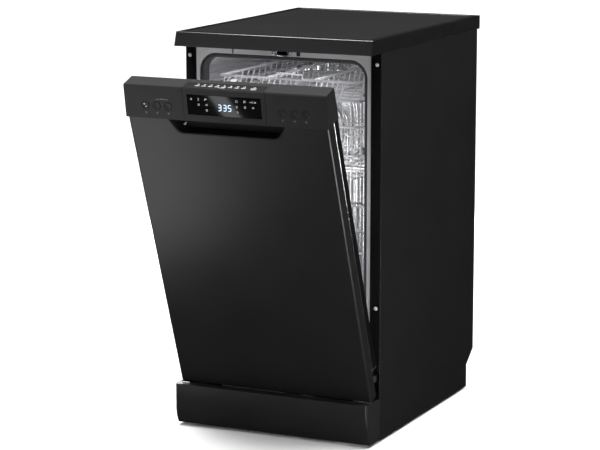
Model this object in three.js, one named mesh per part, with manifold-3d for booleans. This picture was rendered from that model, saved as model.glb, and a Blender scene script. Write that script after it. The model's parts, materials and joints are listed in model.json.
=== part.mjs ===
// Freestanding slimline dishwasher, 45 cm class. Millimetres, +Z up.
// The front faces -Y and the machine's right-hand side (seen from the front) is +X.
// The door stands ajar. The origin is on the floor, under the middle of the whole outline.
import * as THREE from 'three';
import { mergeVertices } from 'three/addons/utils/BufferGeometryUtils.js';
import Module from 'manifold-3d';

const wasm = await Module();
wasm.setup();

// ---- driving dimensions ---------------------------------------------------------------------
const HALF_WIDTH = 224;
const DEPTH = 600;
const HEIGHT = 845;
const GAP = 0.3;                 // clearance between pieces that touch

const WORKTOP_THICK = 30;
const WORKTOP_RAKE = 9;          // how far the lower front edge stands ahead of the upper one

const CASE_FRONT_Y = 44;         // plane of the side panels' front flanges
const CASE_BACK_Y = 585;
const CASE_TOP_Z = HEIGHT - WORKTOP_THICK - GAP;
const CASE_BOTTOM_Z = 4;
const SHEET = 1.2;
const FLANGE_INNER_X = 200.3;
const FLANGE_BOTTOM_Z = 165;     // below this the flange is cut away for the door's bottom edge

const TUB_HALF_WIDTH = 182;
const TUB_FRONT_Y = 70.3;
const TUB_BACK_Y = 560;
const TUB_FLOOR_Z = 150;
const TUB_ROOF_Z = 796;
const MOUTH_HALF_WIDTH = 192;
const MOUTH_TOP_Z = 798.5;
const MOUTH_RADIUS = 38;
const WALL = 2;

const HINGE_Y = 29;
const HINGE_Z = 131;
const DOOR_AJAR = THREE.MathUtils.degToRad(20);
const HINGE_PIN_R = 4;
const PIVOT_PLAY = 0.4;

const DOOR_HALF_WIDTH = 222;
const DOOR_FRONT_Y = -4;
const DOOR_BOTTOM_Z = 105;
const DOOR_TOP_Z = 742;          // top of the outer panel, where the control fascia begins
const DOOR_SEAM_Y = 22;          // side seam between the outer panel and the inner panel
const DOOR_BACK_Y = 42;
const DOOR_LINER_Y = 50;         // pressed centre of the inner panel
const CORNER_HALF_WIDTH = 190;   // below FLANGE_BOTTOM_Z the inner panel is only this wide

const FASCIA_TOP_Z = 809;
const FASCIA_BOTTOM_Y = -7;
const FASCIA_TOP_Y = 5;
const FASCIA_BACK_Y = 43;
const FASCIA_WALL = 2.5;
const FASCIA_TILT = Math.atan((FASCIA_TOP_Y - FASCIA_BOTTOM_Y) / (FASCIA_TOP_Z - DOOR_TOP_Z));
const BUTTON_R = 8.25;
const BUTTON_XS = [-177, -151.5, -126, 126, 151.5, 177];
const BUTTON_HEIGHT = 27;        // centre above the fascia's lower edge
const BUTTON_LENGTH = 6;
const BUTTON_PROUD = 0.6;
const WINDOW = { halfWidth: 82, bottom: 13, top: 55, thick: 3 };

const ARM_AXIS_Y = 315;          // all three spray arms turn about this upright line
const SUMP_X = 75;
const SUMP_Y = 230;
const SALT_X = -110;
const SALT_Y = 190;

const WIRE = 4;

// ---- finishes -------------------------------------------------------------------------------
const finish = (color, roughness, metalness) => ({ color, roughness, metalness });
const BLACK_PAINT = finish(0x232323, 0.42, 0.3);
const BLACK_PLASTIC = finish(0x2a2a2b, 0.5, 0);
const DARK_PLASTIC = finish(0x111111, 0.6, 0);
const BLACK_GLASS = finish(0x050506, 0.08, 0);
const STAINLESS = finish(0xc9cbce, 0.25, 1);
const ZINC = finish(0x9a9ea3, 0.45, 1);
const RUBBER = finish(0x3a3a3e, 0.8, 0);
const GREY_PLASTIC = finish(0xb9bcc0, 0.5, 0);
const WHITE_PLASTIC = finish(0xe4e5e6, 0.5, 0);
const BLUE_PLASTIC = finish(0x3d6c9a, 0.5, 0);
const SILVER_WIRE = finish(0xb4b7bb, 0.35, 0.6);
const BOARD_GREEN = finish(0x1f5a35, 0.6, 0);

// ---- shape helpers --------------------------------------------------------------------------
const X_AXIS = new THREE.Vector3(1, 0, 0);
const Y_AXIS = new THREE.Vector3(0, 1, 0);
const Z_AXIS = new THREE.Vector3(0, 0, 1);

// A block whose corners are exactly the given numbers, so that blocks share planes exactly.
function box(x0, x1, y0, y1, z0, z1) {
  const geometry = new THREE.BoxGeometry(2, 2, 2);
  const corner = geometry.attributes.position;
  for (let i = 0; i < corner.count; i += 1) {
    corner.setXYZ(
      i, corner.getX(i) > 0 ? x1 : x0, corner.getY(i) > 0 ? y1 : y0, corner.getZ(i) > 0 ? z1 : z0);
  }
  return geometry;
}

// A cylinder of radius r whose axis runs from start along direction.
function rod(start, direction, length, r, segments = 16) {
  const geometry = new THREE.CylinderGeometry(r, r, length, segments);
  geometry.translate(0, length / 2, 0);
  geometry.applyQuaternion(new THREE.Quaternion().setFromUnitVectors(Y_AXIS, direction));
  return geometry.translate(...start);
}

function extrude(shape, depth, curveSegments) {
  return new THREE.ExtrudeGeometry(shape, { depth, bevelEnabled: false, curveSegments });
}

// A (y, z) outline swept along X.
function sweepX(shape, x0, x1, curveSegments = 6) {
  const geometry = extrude(shape, x1 - x0, curveSegments);
  geometry.applyMatrix4(new THREE.Matrix4().makeBasis(Y_AXIS, Z_AXIS, X_AXIS));
  return geometry.translate(x0, 0, 0);
}

// An (x, z) outline swept along Y.
function sweepY(shape, y0, y1, curveSegments = 6) {
  const geometry = extrude(shape, y1 - y0, curveSegments);
  geometry.applyMatrix4(new THREE.Matrix4().makeBasis(X_AXIS, Z_AXIS, Y_AXIS.clone().negate()));
  return geometry.translate(0, y1, 0);
}

// An (x, y) outline swept along Z.
function sweepZ(shape, z0, z1, curveSegments = 6) {
  return extrude(shape, z1 - z0, curveSegments).translate(0, 0, z0);
}

function outline(points) {
  return new THREE.Shape(points.map(([a, b]) => new THREE.Vector2(a, b)));
}

// A rectangle with its own radius at each end: low corners, then high corners.
function roundedRect(a0, a1, b0, b1, lowR, highR) {
  const shape = new THREE.Shape();
  shape.moveTo(a0 + lowR, b0);
  shape.lineTo(a1 - lowR, b0);
  if (lowR > 0) shape.absarc(a1 - lowR, b0 + lowR, lowR, -Math.PI / 2, 0, false);
  shape.lineTo(a1, b1 - highR);
  if (highR > 0) shape.absarc(a1 - highR, b1 - highR, highR, 0, Math.PI / 2, false);
  shape.lineTo(a0 + highR, b1);
  if (highR > 0) shape.absarc(a0 + highR, b1 - highR, highR, Math.PI / 2, Math.PI, false);
  shape.lineTo(a0, b0 + lowR);
  if (lowR > 0) shape.absarc(a0 + lowR, b0 + lowR, lowR, Math.PI, 1.5 * Math.PI, false);
  return shape;
}

// A turned piece: closed (radius, z) profile about the upright axis through (x, y).
function turned(profile, x, y, segments = 24) {
  const points = [...profile, profile[0]].map(([r, z]) => new THREE.Vector2(r, z));
  const geometry = new THREE.LatheGeometry(points, segments);
  geometry.rotateX(Math.PI / 2);
  return geometry.translate(x, y, 0);
}

// ---- joining and cutting --------------------------------------------------------------------
function toSolid(geometry) {
  const bare = new THREE.BufferGeometry();
  bare.setAttribute('position', geometry.attributes.position);
  bare.setIndex(geometry.index);
  const merged = mergeVertices(bare, 1e-4);
  const corners = merged.attributes.position;
  const triangles = [];
  for (let i = 0; i < merged.index.count; i += 3) {
    const triangle = [0, 1, 2].map((k) => merged.index.getX(i + k));
    if (new Set(triangle).size === 3) triangles.push(...triangle);
  }
  return new wasm.Manifold(new wasm.Mesh({
    numProp: 3,
    vertProperties: Float32Array.from(corners.array),
    triVerts: Uint32Array.from(triangles),
  }));
}

function toGeometry(solid) {
  const mesh = solid.getMesh();
  const geometry = new THREE.BufferGeometry();
  geometry.setAttribute('position', new THREE.BufferAttribute(mesh.vertProperties, 3));
  geometry.setIndex(new THREE.BufferAttribute(mesh.triVerts, 1));
  geometry.computeVertexNormals();
  return geometry;
}

function join(first, ...others) {
  return toGeometry(others.reduce((sum, other) => sum.add(toSolid(other)), toSolid(first)));
}

function cut(first, ...tools) {
  return toGeometry(tools.reduce((rest, tool) => rest.subtract(toSolid(tool)), toSolid(first)));
}

function common(first, second) {
  return toGeometry(toSolid(first).intersect(toSolid(second)));
}

function mirrored(geometry) {
  return toGeometry(toSolid(geometry).mirror([1, 0, 0]));
}

function part(parent, name, geometry, look) {
  const mesh = new THREE.Mesh(geometry, new THREE.MeshStandardMaterial(look));
  mesh.name = name;
  parent.add(mesh);
  return mesh;
}

// The same piece on the left and on the right, drawn for the right-hand side.
function pair(parent, name, geometry, look) {
  part(parent, `${name}_right`, geometry, look);
  part(parent, `${name}_left`, mirrored(geometry), look);
}

// ---- the case -------------------------------------------------------------------------------
const BOARD_MARGIN = 16;
const BOARD_THICK = 22;

function worktopProfile() {
  const low = HEIGHT - WORKTOP_THICK;
  const chamfer = 1.5;
  return outline([
    [-WORKTOP_RAKE, low], [DEPTH, low], [DEPTH, HEIGHT - chamfer], [DEPTH - chamfer, HEIGHT],
    [chamfer, HEIGHT], [0, HEIGHT - chamfer],
  ]);
}

function worktopTrim() {
  const body = sweepX(worktopProfile(), -HALF_WIDTH, HALF_WIDTH);
  const x = HALF_WIDTH - BOARD_MARGIN;
  const pocket = box(-x, x, BOARD_MARGIN, DEPTH - BOARD_MARGIN, HEIGHT - 1 - BOARD_THICK, HEIGHT + 1);
  return cut(body, pocket);
}

function worktopBoard() {
  const x = HALF_WIDTH - BOARD_MARGIN - GAP;
  const y0 = BOARD_MARGIN + GAP;
  return box(-x, x, y0, DEPTH - y0, HEIGHT - 1 - BOARD_THICK + GAP, HEIGHT - 0.6);
}

const HEEL_TOP_Z = 85;
const HEEL_LOW_Z = 55;
const HEEL_FRONT_Y = 545;

// The right-hand side panel: one folded sheet with a front and a rear flange.
function sidePanel() {
  const wall = sweepX(outline([
    [CASE_FRONT_Y, CASE_BOTTOM_Z], [HEEL_FRONT_Y, CASE_BOTTOM_Z], [HEEL_FRONT_Y, HEEL_LOW_Z],
    [CASE_BACK_Y, HEEL_TOP_Z], [CASE_BACK_Y, CASE_TOP_Z], [CASE_FRONT_Y, CASE_TOP_Z],
  ]), HALF_WIDTH - SHEET, HALF_WIDTH);
  const flangeX = HALF_WIDTH - SHEET / 2;
  const front = box(FLANGE_INNER_X, flangeX, CASE_FRONT_Y, CASE_FRONT_Y + SHEET, FLANGE_BOTTOM_Z, CASE_TOP_Z);
  const rear = box(FLANGE_INNER_X, flangeX, CASE_BACK_Y - SHEET, CASE_BACK_Y, HEEL_TOP_Z + 8, CASE_TOP_Z);
  return join(wall, front, rear);
}

function rearPanel() {
  const x = HALF_WIDTH - SHEET - GAP;
  const y1 = CASE_BACK_Y - SHEET - GAP;
  return box(-x, x, y1 - SHEET, y1, HEEL_TOP_Z + 10, CASE_TOP_Z);
}

const PLINTH_TOP_Z = 94;
const PLINTH_LOW_Z = 6;
const PLINTH_FRONT_Y = -21;
const PLINTH_TOE_Y = -4;
const PLINTH_WALL = 1.4;
const PLINTH_LEDGE_Y = 5;        // back edge of the plinth's top ledge

// Section of the plinth: upright at the top, curving back to the toe.
function plinthSection(inset, low, high, back) {
  const shape = new THREE.Shape();
  shape.moveTo(PLINTH_TOE_Y + inset, low);
  shape.lineTo(back, low);
  shape.lineTo(back, high);
  shape.lineTo(PLINTH_FRONT_Y + inset, high);
  shape.bezierCurveTo(
    PLINTH_FRONT_Y + inset - 2, high - 34, PLINTH_FRONT_Y + inset + 4, high - 66, PLINTH_TOE_Y + inset, low);
  return shape;
}

function plinth() {
  const back = CASE_FRONT_Y - GAP;
  const inner = HALF_WIDTH - PLINTH_WALL;
  const bulk = sweepX(plinthSection(0, PLINTH_LOW_Z, PLINTH_TOP_Z, back), -HALF_WIDTH, HALF_WIDTH, 8);
  const corners = sweepZ(
    roundedRect(-HALF_WIDTH, HALF_WIDTH, PLINTH_FRONT_Y - 4, back + 20, 14, 0), 0, PLINTH_TOP_Z + 5, 5);
  const hollow = sweepX(
    plinthSection(PLINTH_WALL * 2, PLINTH_LOW_Z - 2, PLINTH_TOP_Z - 2.4, back + 2), -inner, inner, 8);
  const hollowCorners = sweepZ(
    roundedRect(-inner, inner, PLINTH_FRONT_Y + 0.6, back + 20, 12, 0), 0, PLINTH_TOP_Z + 5, 5);
  const mouth = box(-inner, inner, PLINTH_LEDGE_Y, back + 2, PLINTH_TOP_Z - 4, PLINTH_TOP_Z + 2);
  return cut(common(bulk, corners), common(hollow, hollowCorners), mouth);
}

// ---- base, feet and the works under the tub -------------------------------------------------
const BASE = { halfWidth: 221, front: 64, back: 540, low: 10, high: 72, wall: 2.5 };
const FOOT_X = 188;
const FOOT_YS = [84, 515];
const FOOT_STEM_R = 5;
const GLAND_X = 150;             // where the mains lead would leave the base
const GLAND_Z = 43;

function baseTray() {
  const { halfWidth, front, back, low, high, wall } = BASE;
  const body = box(-halfWidth, halfWidth, front, back, low, high);
  const inside = box(-halfWidth + wall, halfWidth - wall, front + wall, back - wall, low + wall, high + 1);
  const bosses = [];
  const holes = [];
  for (const y of FOOT_YS) {
    for (const x of [-FOOT_X, FOOT_X]) {
      bosses.push(rod([x, y, low + 1], Z_AXIS, 30, 10));
      holes.push(rod([x, y, low - 1], Z_AXIS, 40, FOOT_STEM_R + PIVOT_PLAY));
    }
  }
  const gland = rod([GLAND_X, back - 1, GLAND_Z], Y_AXIS, 14, 9, 20);
  const glandHole = rod([GLAND_X, back - 10, GLAND_Z], Y_AXIS, 40, 4, 12);
  return cut(join(cut(body, inside), gland, ...bosses), glandHole, ...holes);
}

function foot() {
  return turned([[0, 0], [17, 0], [17, 4], [9, 8], [FOOT_STEM_R, 8], [FOOT_STEM_R, 36], [0, 36]], 0, 0, 20);
}

function sumpHousing() {
  const top = TUB_FLOOR_Z - WALL - GAP;
  const bowl = [[0, 70], [58, 70], [62, 76], [62, top], [59, top], [59, 78], [56, 73], [0, 73]];
  return turned(bowl, SUMP_X, SUMP_Y);
}

const FILTER_R = 38;

function filterPlate() {
  const top = TUB_FLOOR_Z - 4;
  return turned(
    [[FILTER_R + 2, top - 2], [58, top - 2], [58, top], [FILTER_R + 2, top]], SUMP_X, SUMP_Y);
}

// The cylinder filter: an open cup with a grip bar across its mouth.
function filterCylinder() {
  const low = 82;
  const high = TUB_FLOOR_Z + 4;
  const cup = turned([
    [0, low], [FILTER_R, low], [FILTER_R, high], [FILTER_R - 2, high], [FILTER_R - 2, low + 3], [0, low + 3],
  ], 0, 0);
  const grip = box(-FILTER_R + 1, FILTER_R - 1, -3, 3, high - 6, high + 8);
  return join(cup, grip);
}

function circulationPump() {
  const y = ARM_AXIS_Y + 20;
  const z = 62;
  const motor = rod([-112, y, z], X_AXIS, 84, 34, 20);
  const volute = rod([-32, y, z], X_AXIS, 30, 42, 20);
  const outlet = rod([-17, y, z], Z_AXIS, TUB_FLOOR_Z - WALL - 1 - z, 13);
  const shaftCap = rod([-122, y, z], X_AXIS, 12, 14);
  return join(motor, volute, outlet, shaftCap);
}

function drainPump() {
  const y = 152;
  const z = 42;
  const motor = rod([30, y, z], X_AXIS, 50, 21);
  const volute = rod([78, y, z], X_AXIS, 22, 26);
  const spigot = rod([89, y, z], Y_AXIS, 46, 9);
  return join(motor, volute, spigot);
}

function waterSoftener() {
  const tank = box(-178, -66, 112, 250, 24, 128);
  const neck = rod([SALT_X, SALT_Y, 127], Z_AXIS, TUB_FLOOR_Z - 1 - 127, 25, 24);
  const throat = rod([SALT_X, SALT_Y, 60], Z_AXIS, 100, 21, 24);
  return cut(join(tank, neck), throat);
}

function saltCap() {
  const disc = rod([0, 0, 0], Z_AXIS, 9, 27, 24);
  const grip = box(-20, 20, -3.5, 3.5, 8, 14);
  return join(disc, grip);
}

function inletValve() {
  const y = BASE.back + GAP;
  const body = box(-170, -134, y, y + 20, 26, 60);
  const thread = rod([-152, y + 19, 43], Y_AXIS, 22, 13.2, 20);
  const bore = rod([-152, y + 10, 43], Y_AXIS, 40, 8, 16);
  return cut(join(body, thread), bore);
}

// ---- the tub --------------------------------------------------------------------------------
const RACK_LEDGE_X = 170;
const RACK_LEDGE_TOP_Z = 184;
const TRAY_LEDGE_TOP_Z = 727;

// One folded sheet: both sides and the roof, with the ledges that carry the rack and the tray.
function tubWrap() {
  const out = TUB_HALF_WIDTH + WALL;
  const low = TUB_FLOOR_Z - WALL;
  const shell = sweepY(roundedRect(-out, out, low, TUB_ROOF_Z + WALL, 0, 28), TUB_FRONT_Y, TUB_BACK_Y, 5);
  const innerOutline = roundedRect(-TUB_HALF_WIDTH, TUB_HALF_WIDTH, low - 2, TUB_ROOF_Z, 0, 26);
  const inside = sweepY(innerOutline, TUB_FRONT_Y - 2, TUB_BACK_Y + 2, 5);
  const ledges = [];
  for (const [top, y0] of [[RACK_LEDGE_TOP_Z, TUB_FRONT_Y + 2], [TRAY_LEDGE_TOP_Z, TUB_FRONT_Y + 4]]) {
    ledges.push(box(RACK_LEDGE_X, TUB_HALF_WIDTH + 1, y0, TUB_BACK_Y - 8, top - 6, top));
    ledges.push(box(-TUB_HALF_WIDTH - 1, -RACK_LEDGE_X, y0, TUB_BACK_Y - 8, top - 6, top));
  }
  return join(cut(shell, inside), ...ledges);
}

function tubBackWall() {
  const out = TUB_HALF_WIDTH + WALL;
  const y = TUB_BACK_Y + GAP;
  return sweepY(roundedRect(-out, out, TUB_FLOOR_Z - WALL, TUB_ROOF_Z + WALL, 0, 28), y, y + WALL, 5);
}

function tubFloor() {
  const x = TUB_HALF_WIDTH - GAP;
  const sillY = 62.5;
  const plate = box(-x, x, sillY, TUB_BACK_Y, TUB_FLOOR_Z - WALL, TUB_FLOOR_Z);
  const sill = box(-x, x, sillY, sillY + WALL, 118, TUB_FLOOR_Z);
  const post = rod([0, ARM_AXIS_Y, TUB_FLOOR_Z - 1], Z_AXIS, 21, 12);
  const sumpHole = rod([SUMP_X, SUMP_Y, TUB_FLOOR_Z - 10], Z_AXIS, 20, 59, 32);
  const saltHole = rod([SALT_X, SALT_Y, TUB_FLOOR_Z - 10], Z_AXIS, 20, 26, 24);
  return cut(join(plate, sill, post), sumpHole, saltHole);
}

// Inverted U around the door opening.
function mouthOutline(offset, low) {
  const x = MOUTH_HALF_WIDTH + offset;
  return roundedRect(-x, x, low, MOUTH_TOP_Z + offset, 0, MOUTH_RADIUS + offset);
}

const FRAME_FRONT_Y = 45.5;
const FRAME_LOW_Z = 140;
const GASKET_BACK_Y = TUB_FRONT_Y - GAP * 2;

function tubFrontFrame() {
  const x = FLANGE_INNER_X - 0.4;
  const lip = 1.5;
  const face = box(-x, x, FRAME_FRONT_Y, FRAME_FRONT_Y + lip, FRAME_LOW_Z, CASE_TOP_Z);
  const collar = sweepY(mouthOutline(lip, FRAME_LOW_Z), FRAME_FRONT_Y, TUB_FRONT_Y - GAP, 8);
  const opening = sweepY(mouthOutline(0, FRAME_LOW_Z - 2), FRAME_FRONT_Y - 2, TUB_FRONT_Y + 2, 8);
  const latchSlot = sweepY(roundedRect(-13, 13, 800, 809, 4, 4), FRAME_FRONT_Y - 2, FRAME_FRONT_Y + 10, 5);
  return cut(join(face, collar), opening, latchSlot);
}

function doorGasket() {
  const low = TUB_FLOOR_Z + 2;
  const outer = sweepY(mouthOutline(-GAP, low), 50, GASKET_BACK_Y, 8);
  const inner = sweepY(mouthOutline(-9.6, low - 2), 48, TUB_FRONT_Y + 2, 8);
  return cut(outer, inner);
}

const FEED_Y = TUB_BACK_Y - 13;
const DOCK_FRONT_Y = FEED_Y - 3.5;      // face that the upper rack's manifold meets

// Riser on the back wall that feeds the upper arm and, along the roof, the top arm.
function waterFeedPipe() {
  const riser = box(-12, 12, FEED_Y, TUB_BACK_Y - 1, TUB_FLOOR_Z + 1, TUB_ROOF_Z - 2);
  const roofRun = box(-12, 12, ARM_AXIS_Y - 14, FEED_Y + 1, TUB_ROOF_Z - 10, TUB_ROOF_Z - 2);
  const dock = box(-8, 8, DOCK_FRONT_Y, FEED_Y + 1, 526, 542);
  return join(riser, roofRun, dock);
}

// ---- spray arms -----------------------------------------------------------------------------
// A flat two-bladed arm with a round hub, drawn about its own axis with its underside at z = 0.
function sprayArm(reach, bladeWidth, thick, hubR, hubHeight) {
  const blade = new THREE.Shape();
  const tip = bladeWidth / 2;
  blade.moveTo(-reach + tip, -tip);
  blade.quadraticCurveTo(0, -tip * 1.7, reach - tip, -tip);
  blade.absarc(reach - tip, 0, tip, -Math.PI / 2, Math.PI / 2, false);
  blade.quadraticCurveTo(0, tip * 1.7, -reach + tip, tip);
  blade.absarc(-reach + tip, 0, tip, Math.PI / 2, 1.5 * Math.PI, false);
  return join(sweepZ(blade, 0, thick, 6), rod([0, 0, 0], Z_AXIS, hubHeight, hubR, 20));
}

// ---- racks ----------------------------------------------------------------------------------
function bar(a, b, thick) {
  const low = a.map((v, i) => Math.min(v, b[i]) - thick / 2);
  const high = a.map((v, i) => Math.max(v, b[i]) + thick / 2);
  return box(low[0], high[0], low[1], high[1], low[2], high[2]);
}

// Wire sizes: each kind is a little thinner than the last, so that no two wires share a face.
const GAUGE = {
  rim: WIRE + 0.4,
  rimSide: WIRE + 0.2,
  long: WIRE,
  longUp: WIRE - 0.2,
  cross: WIRE - 0.4,
  crossUp: WIRE - 0.6,
};
const CROSS_LIFT = 2.9;          // cross wires are welded on top of the long ones

// An open wire basket: a floor grid whose wires turn up into the walls, with a rim and a mid rail.
function wireBasket({ halfWidth, front, back, low, rim, frontRim, across, along }) {
  const wires = [];
  const step = (from, to, i, n) => from + ((to - from) * i) / n;
  for (let i = 0; i <= across; i += 1) {
    const x = step(-halfWidth, halfWidth, i, across);
    wires.push(bar([x, front, low], [x, back, low], GAUGE.long));
    wires.push(bar([x, front, low], [x, front, frontRim], GAUGE.longUp));
    wires.push(bar([x, back, low], [x, back, rim], GAUGE.longUp));
  }
  for (let i = 1; i < along; i += 1) {
    const y = step(front, back, i, along);
    wires.push(bar([-halfWidth, y, low + CROSS_LIFT], [halfWidth, y, low + CROSS_LIFT], GAUGE.cross));
    for (const x of [-halfWidth, halfWidth]) {
      wires.push(bar([x, y, low + CROSS_LIFT], [x, y, rim], GAUGE.crossUp));
    }
  }
  for (const [z, frontZ] of [[(low + rim) / 2, (low + rim) / 2], [rim, frontRim]]) {
    wires.push(bar([-halfWidth, back, z], [halfWidth, back, z], GAUGE.rim));
    wires.push(bar([-halfWidth, front, frontZ], [halfWidth, front, frontZ], GAUGE.rim));
    for (const x of [-halfWidth, halfWidth]) wires.push(bar([x, front, z], [x, back, z], GAUGE.rimSide));
  }
  return join(...wires);
}

const LOWER_RACK = {
  halfWidth: 160, front: 84, back: 540, low: 200, rim: 400, frontRim: 440, across: 4, along: 5,
};
const UPPER_RACK = {
  halfWidth: 158, front: 78, back: 528, low: 545, rim: 655, frontRim: 655, across: 4, along: 5,
};
const WHEEL_R = 15;
const WHEEL_Z = RACK_LEDGE_TOP_Z + 1 + WHEEL_R;
const WHEEL_YS = [140, 470];
const AXLE_R = 3;

function lowerRack() {
  const { halfWidth } = LOWER_RACK;
  const axles = WHEEL_YS.flatMap((y) => [
    rod([halfWidth, y, WHEEL_Z], X_AXIS, 20, AXLE_R, 10),
    rod([-halfWidth - 20, y, WHEEL_Z], X_AXIS, 20, AXLE_R, 10),
  ]);
  return join(wireBasket(LOWER_RACK), ...axles);
}

// A rack roller about its own X axis, grooved at the middle of its tread.
function rackWheel() {
  const hub = AXLE_R + PIVOT_PLAY;
  const geometry = turned([[hub, 0], [WHEEL_R, 0], [WHEEL_R, 8], [hub, 8]], 0, 0, 20);
  return geometry.rotateY(Math.PI / 2);
}

const RAIL_Z = 600;

function upperRail() {
  const x = 167;
  const web = box(x, x + 2, 76, 545, RAIL_Z, RAIL_Z + 16);
  const lips = [RAIL_Z, RAIL_Z + 14].map((z) => box(x, x + 7, 76, 545, z, z + 2));
  return join(web, ...lips);
}

function upperManifold() {
  const top = UPPER_RACK.low - WIRE / 2 - GAP;
  const run = box(-9, 9, ARM_AXIS_Y - 12, DOCK_FRONT_Y - 2, top - 6, top);
  return join(run, rod([0, ARM_AXIS_Y, top - 6], Z_AXIS, 6, 14, 20));
}

const TRAY = { halfWidth: 162, front: 78, back: 534, low: 706, high: 750, wall: 2 };

// The pull-out cutlery tray: a shallow open tray with side flanges that run on the tub's ledges.
function cutleryTray() {
  const { halfWidth, front, back, low, high, wall } = TRAY;
  const body = box(-halfWidth, halfWidth, front, back, low, high);
  const bays = [[-halfWidth + wall, -56], [-54, 54], [56, halfWidth - wall]];
  const wells = bays.map(([x0, x1]) => box(x0, x1, front + wall, back - wall, low + wall, high + 1));
  const flangeLow = TRAY_LEDGE_TOP_Z + 0.5;
  const flanges = [
    box(halfWidth - 1, 178, front, back, flangeLow, flangeLow + 2.5),
    box(-178, -halfWidth + 1, front, back, flangeLow, flangeLow + 2.5),
  ];
  return join(cut(body, ...wells), ...flanges);
}

// ---- hinge parts ----------------------------------------------------------------------------
const ARM_X = 203;
const BRACKET_X = 211;
const EYE_Z = HINGE_Z + 28;      // where the balance spring pulls on the arm

// The right-hand bracket on the base, with the pin the door turns on.
function hingeBracket() {
  const nose = rod([BRACKET_X, HINGE_Y, HINGE_Z], X_AXIS, 3, 11, 20);
  const neck = box(BRACKET_X, BRACKET_X + 3, HINGE_Y, 66, HINGE_Z - 2, HINGE_Z + 11);
  const plate = box(BRACKET_X, BRACKET_X + 3, 65, 120, 74, 165);
  const foldedFoot = box(BRACKET_X - 16, BRACKET_X + 3, 68, 120, 74, 77);
  const pin = rod([ARM_X - 3, HINGE_Y, HINGE_Z], X_AXIS, BRACKET_X - ARM_X + 5, HINGE_PIN_R, 20);
  return join(nose, neck, plate, foldedFoot, pin);
}

// The door's steel arm: bored for the pin, with a stud for the spring and a blade into the door.
function hingeArm() {
  const eye = rod([ARM_X, HINGE_Y, HINGE_Z], X_AXIS, 3, 12, 20);
  const blade = box(ARM_X, ARM_X + 3, 8, 38, HINGE_Z, 320);
  const stud = rod([ARM_X + 1, HINGE_Y, EYE_Z], X_AXIS, 7, 2.5, 10);
  const bore = rod([ARM_X - 2, HINGE_Y, HINGE_Z], X_AXIS, 8, HINGE_PIN_R + PIVOT_PLAY, 20);
  return cut(join(eye, blade, stud), bore);
}

// Balance spring lying along the tub's side, with its pull rod forward to the arm's stud.
function doorSpring() {
  const x = 208;
  const y = HINGE_Y - (EYE_Z - HINGE_Z) * Math.sin(DOOR_AJAR);
  const z = HINGE_Z + (EYE_Z - HINGE_Z) * Math.cos(DOOR_AJAR);
  const ribs = [[0, 0]];
  for (let i = 0; i < 12; i += 1) ribs.push([5, i * 16 + 4], [6.5, i * 16 + 12]);
  ribs.push([0, 200]);
  const coil = turned(ribs, 0, 0, 10).rotateX(-Math.PI / 2).translate(x, 130, z);
  const pull = rod([x, y + 3.5, z], Y_AXIS, 131 - y, 1.5, 8);
  const tail = rod([x, 328, z], Y_AXIS, 40, 1.5, 8);
  return join(coil, pull, tail);
}

// ---- the door, drawn closed -----------------------------------------------------------------
const RECESS_LOW_Z = 710;
const RECESS_TOP_HALF = 130;

// Front outline of the finger recess: wide at the top, with rounded lower corners.
function recessOutline(inset, top) {
  const low = RECESS_LOW_Z + inset;
  const wide = RECESS_TOP_HALF - inset;
  const shape = new THREE.Shape();
  shape.moveTo(-wide, top);
  shape.lineTo(-wide + 10, low + 13);
  shape.quadraticCurveTo(-wide + 17, low, -wide + 30, low);
  shape.lineTo(wide - 30, low);
  shape.quadraticCurveTo(wide - 17, low, wide - 10, low + 13);
  shape.lineTo(wide, top);
  return shape;
}

function doorOuterPanel() {
  const sheet = 1.6;
  const cornerR = 6;
  const outerPlan = roundedRect(-DOOR_HALF_WIDTH, DOOR_HALF_WIDTH, DOOR_FRONT_Y, DOOR_SEAM_Y, cornerR, 0);
  const body = sweepZ(outerPlan, DOOR_BOTTOM_Z, DOOR_TOP_Z, 5);
  const x = DOOR_HALF_WIDTH - sheet;
  const innerPlan = roundedRect(-x, x, DOOR_FRONT_Y + sheet, DOOR_SEAM_Y + 2, cornerR - sheet, 0);
  const inside = sweepZ(innerPlan, DOOR_BOTTOM_Z + sheet, DOOR_TOP_Z - sheet, 5);
  const recess = sweepY(recessOutline(0, DOOR_TOP_Z), DOOR_FRONT_Y - 2, DOOR_SEAM_Y + 2, 6);
  return cut(body, inside, recess);
}

function handleRecess() {
  const back = DOOR_SEAM_Y + 2;
  const body = sweepY(recessOutline(GAP, DOOR_TOP_Z), DOOR_FRONT_Y + 0.2, back, 6);
  const pocket = sweepY(recessOutline(2, DOOR_TOP_Z - 2), DOOR_FRONT_Y - 2, back - 2, 6);
  return cut(body, pocket);
}

const DISPENSER = { halfWidth: 92, low: 430, high: 570, front: 22, back: 53 };
const LATCH_Z = 803.5;

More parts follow.
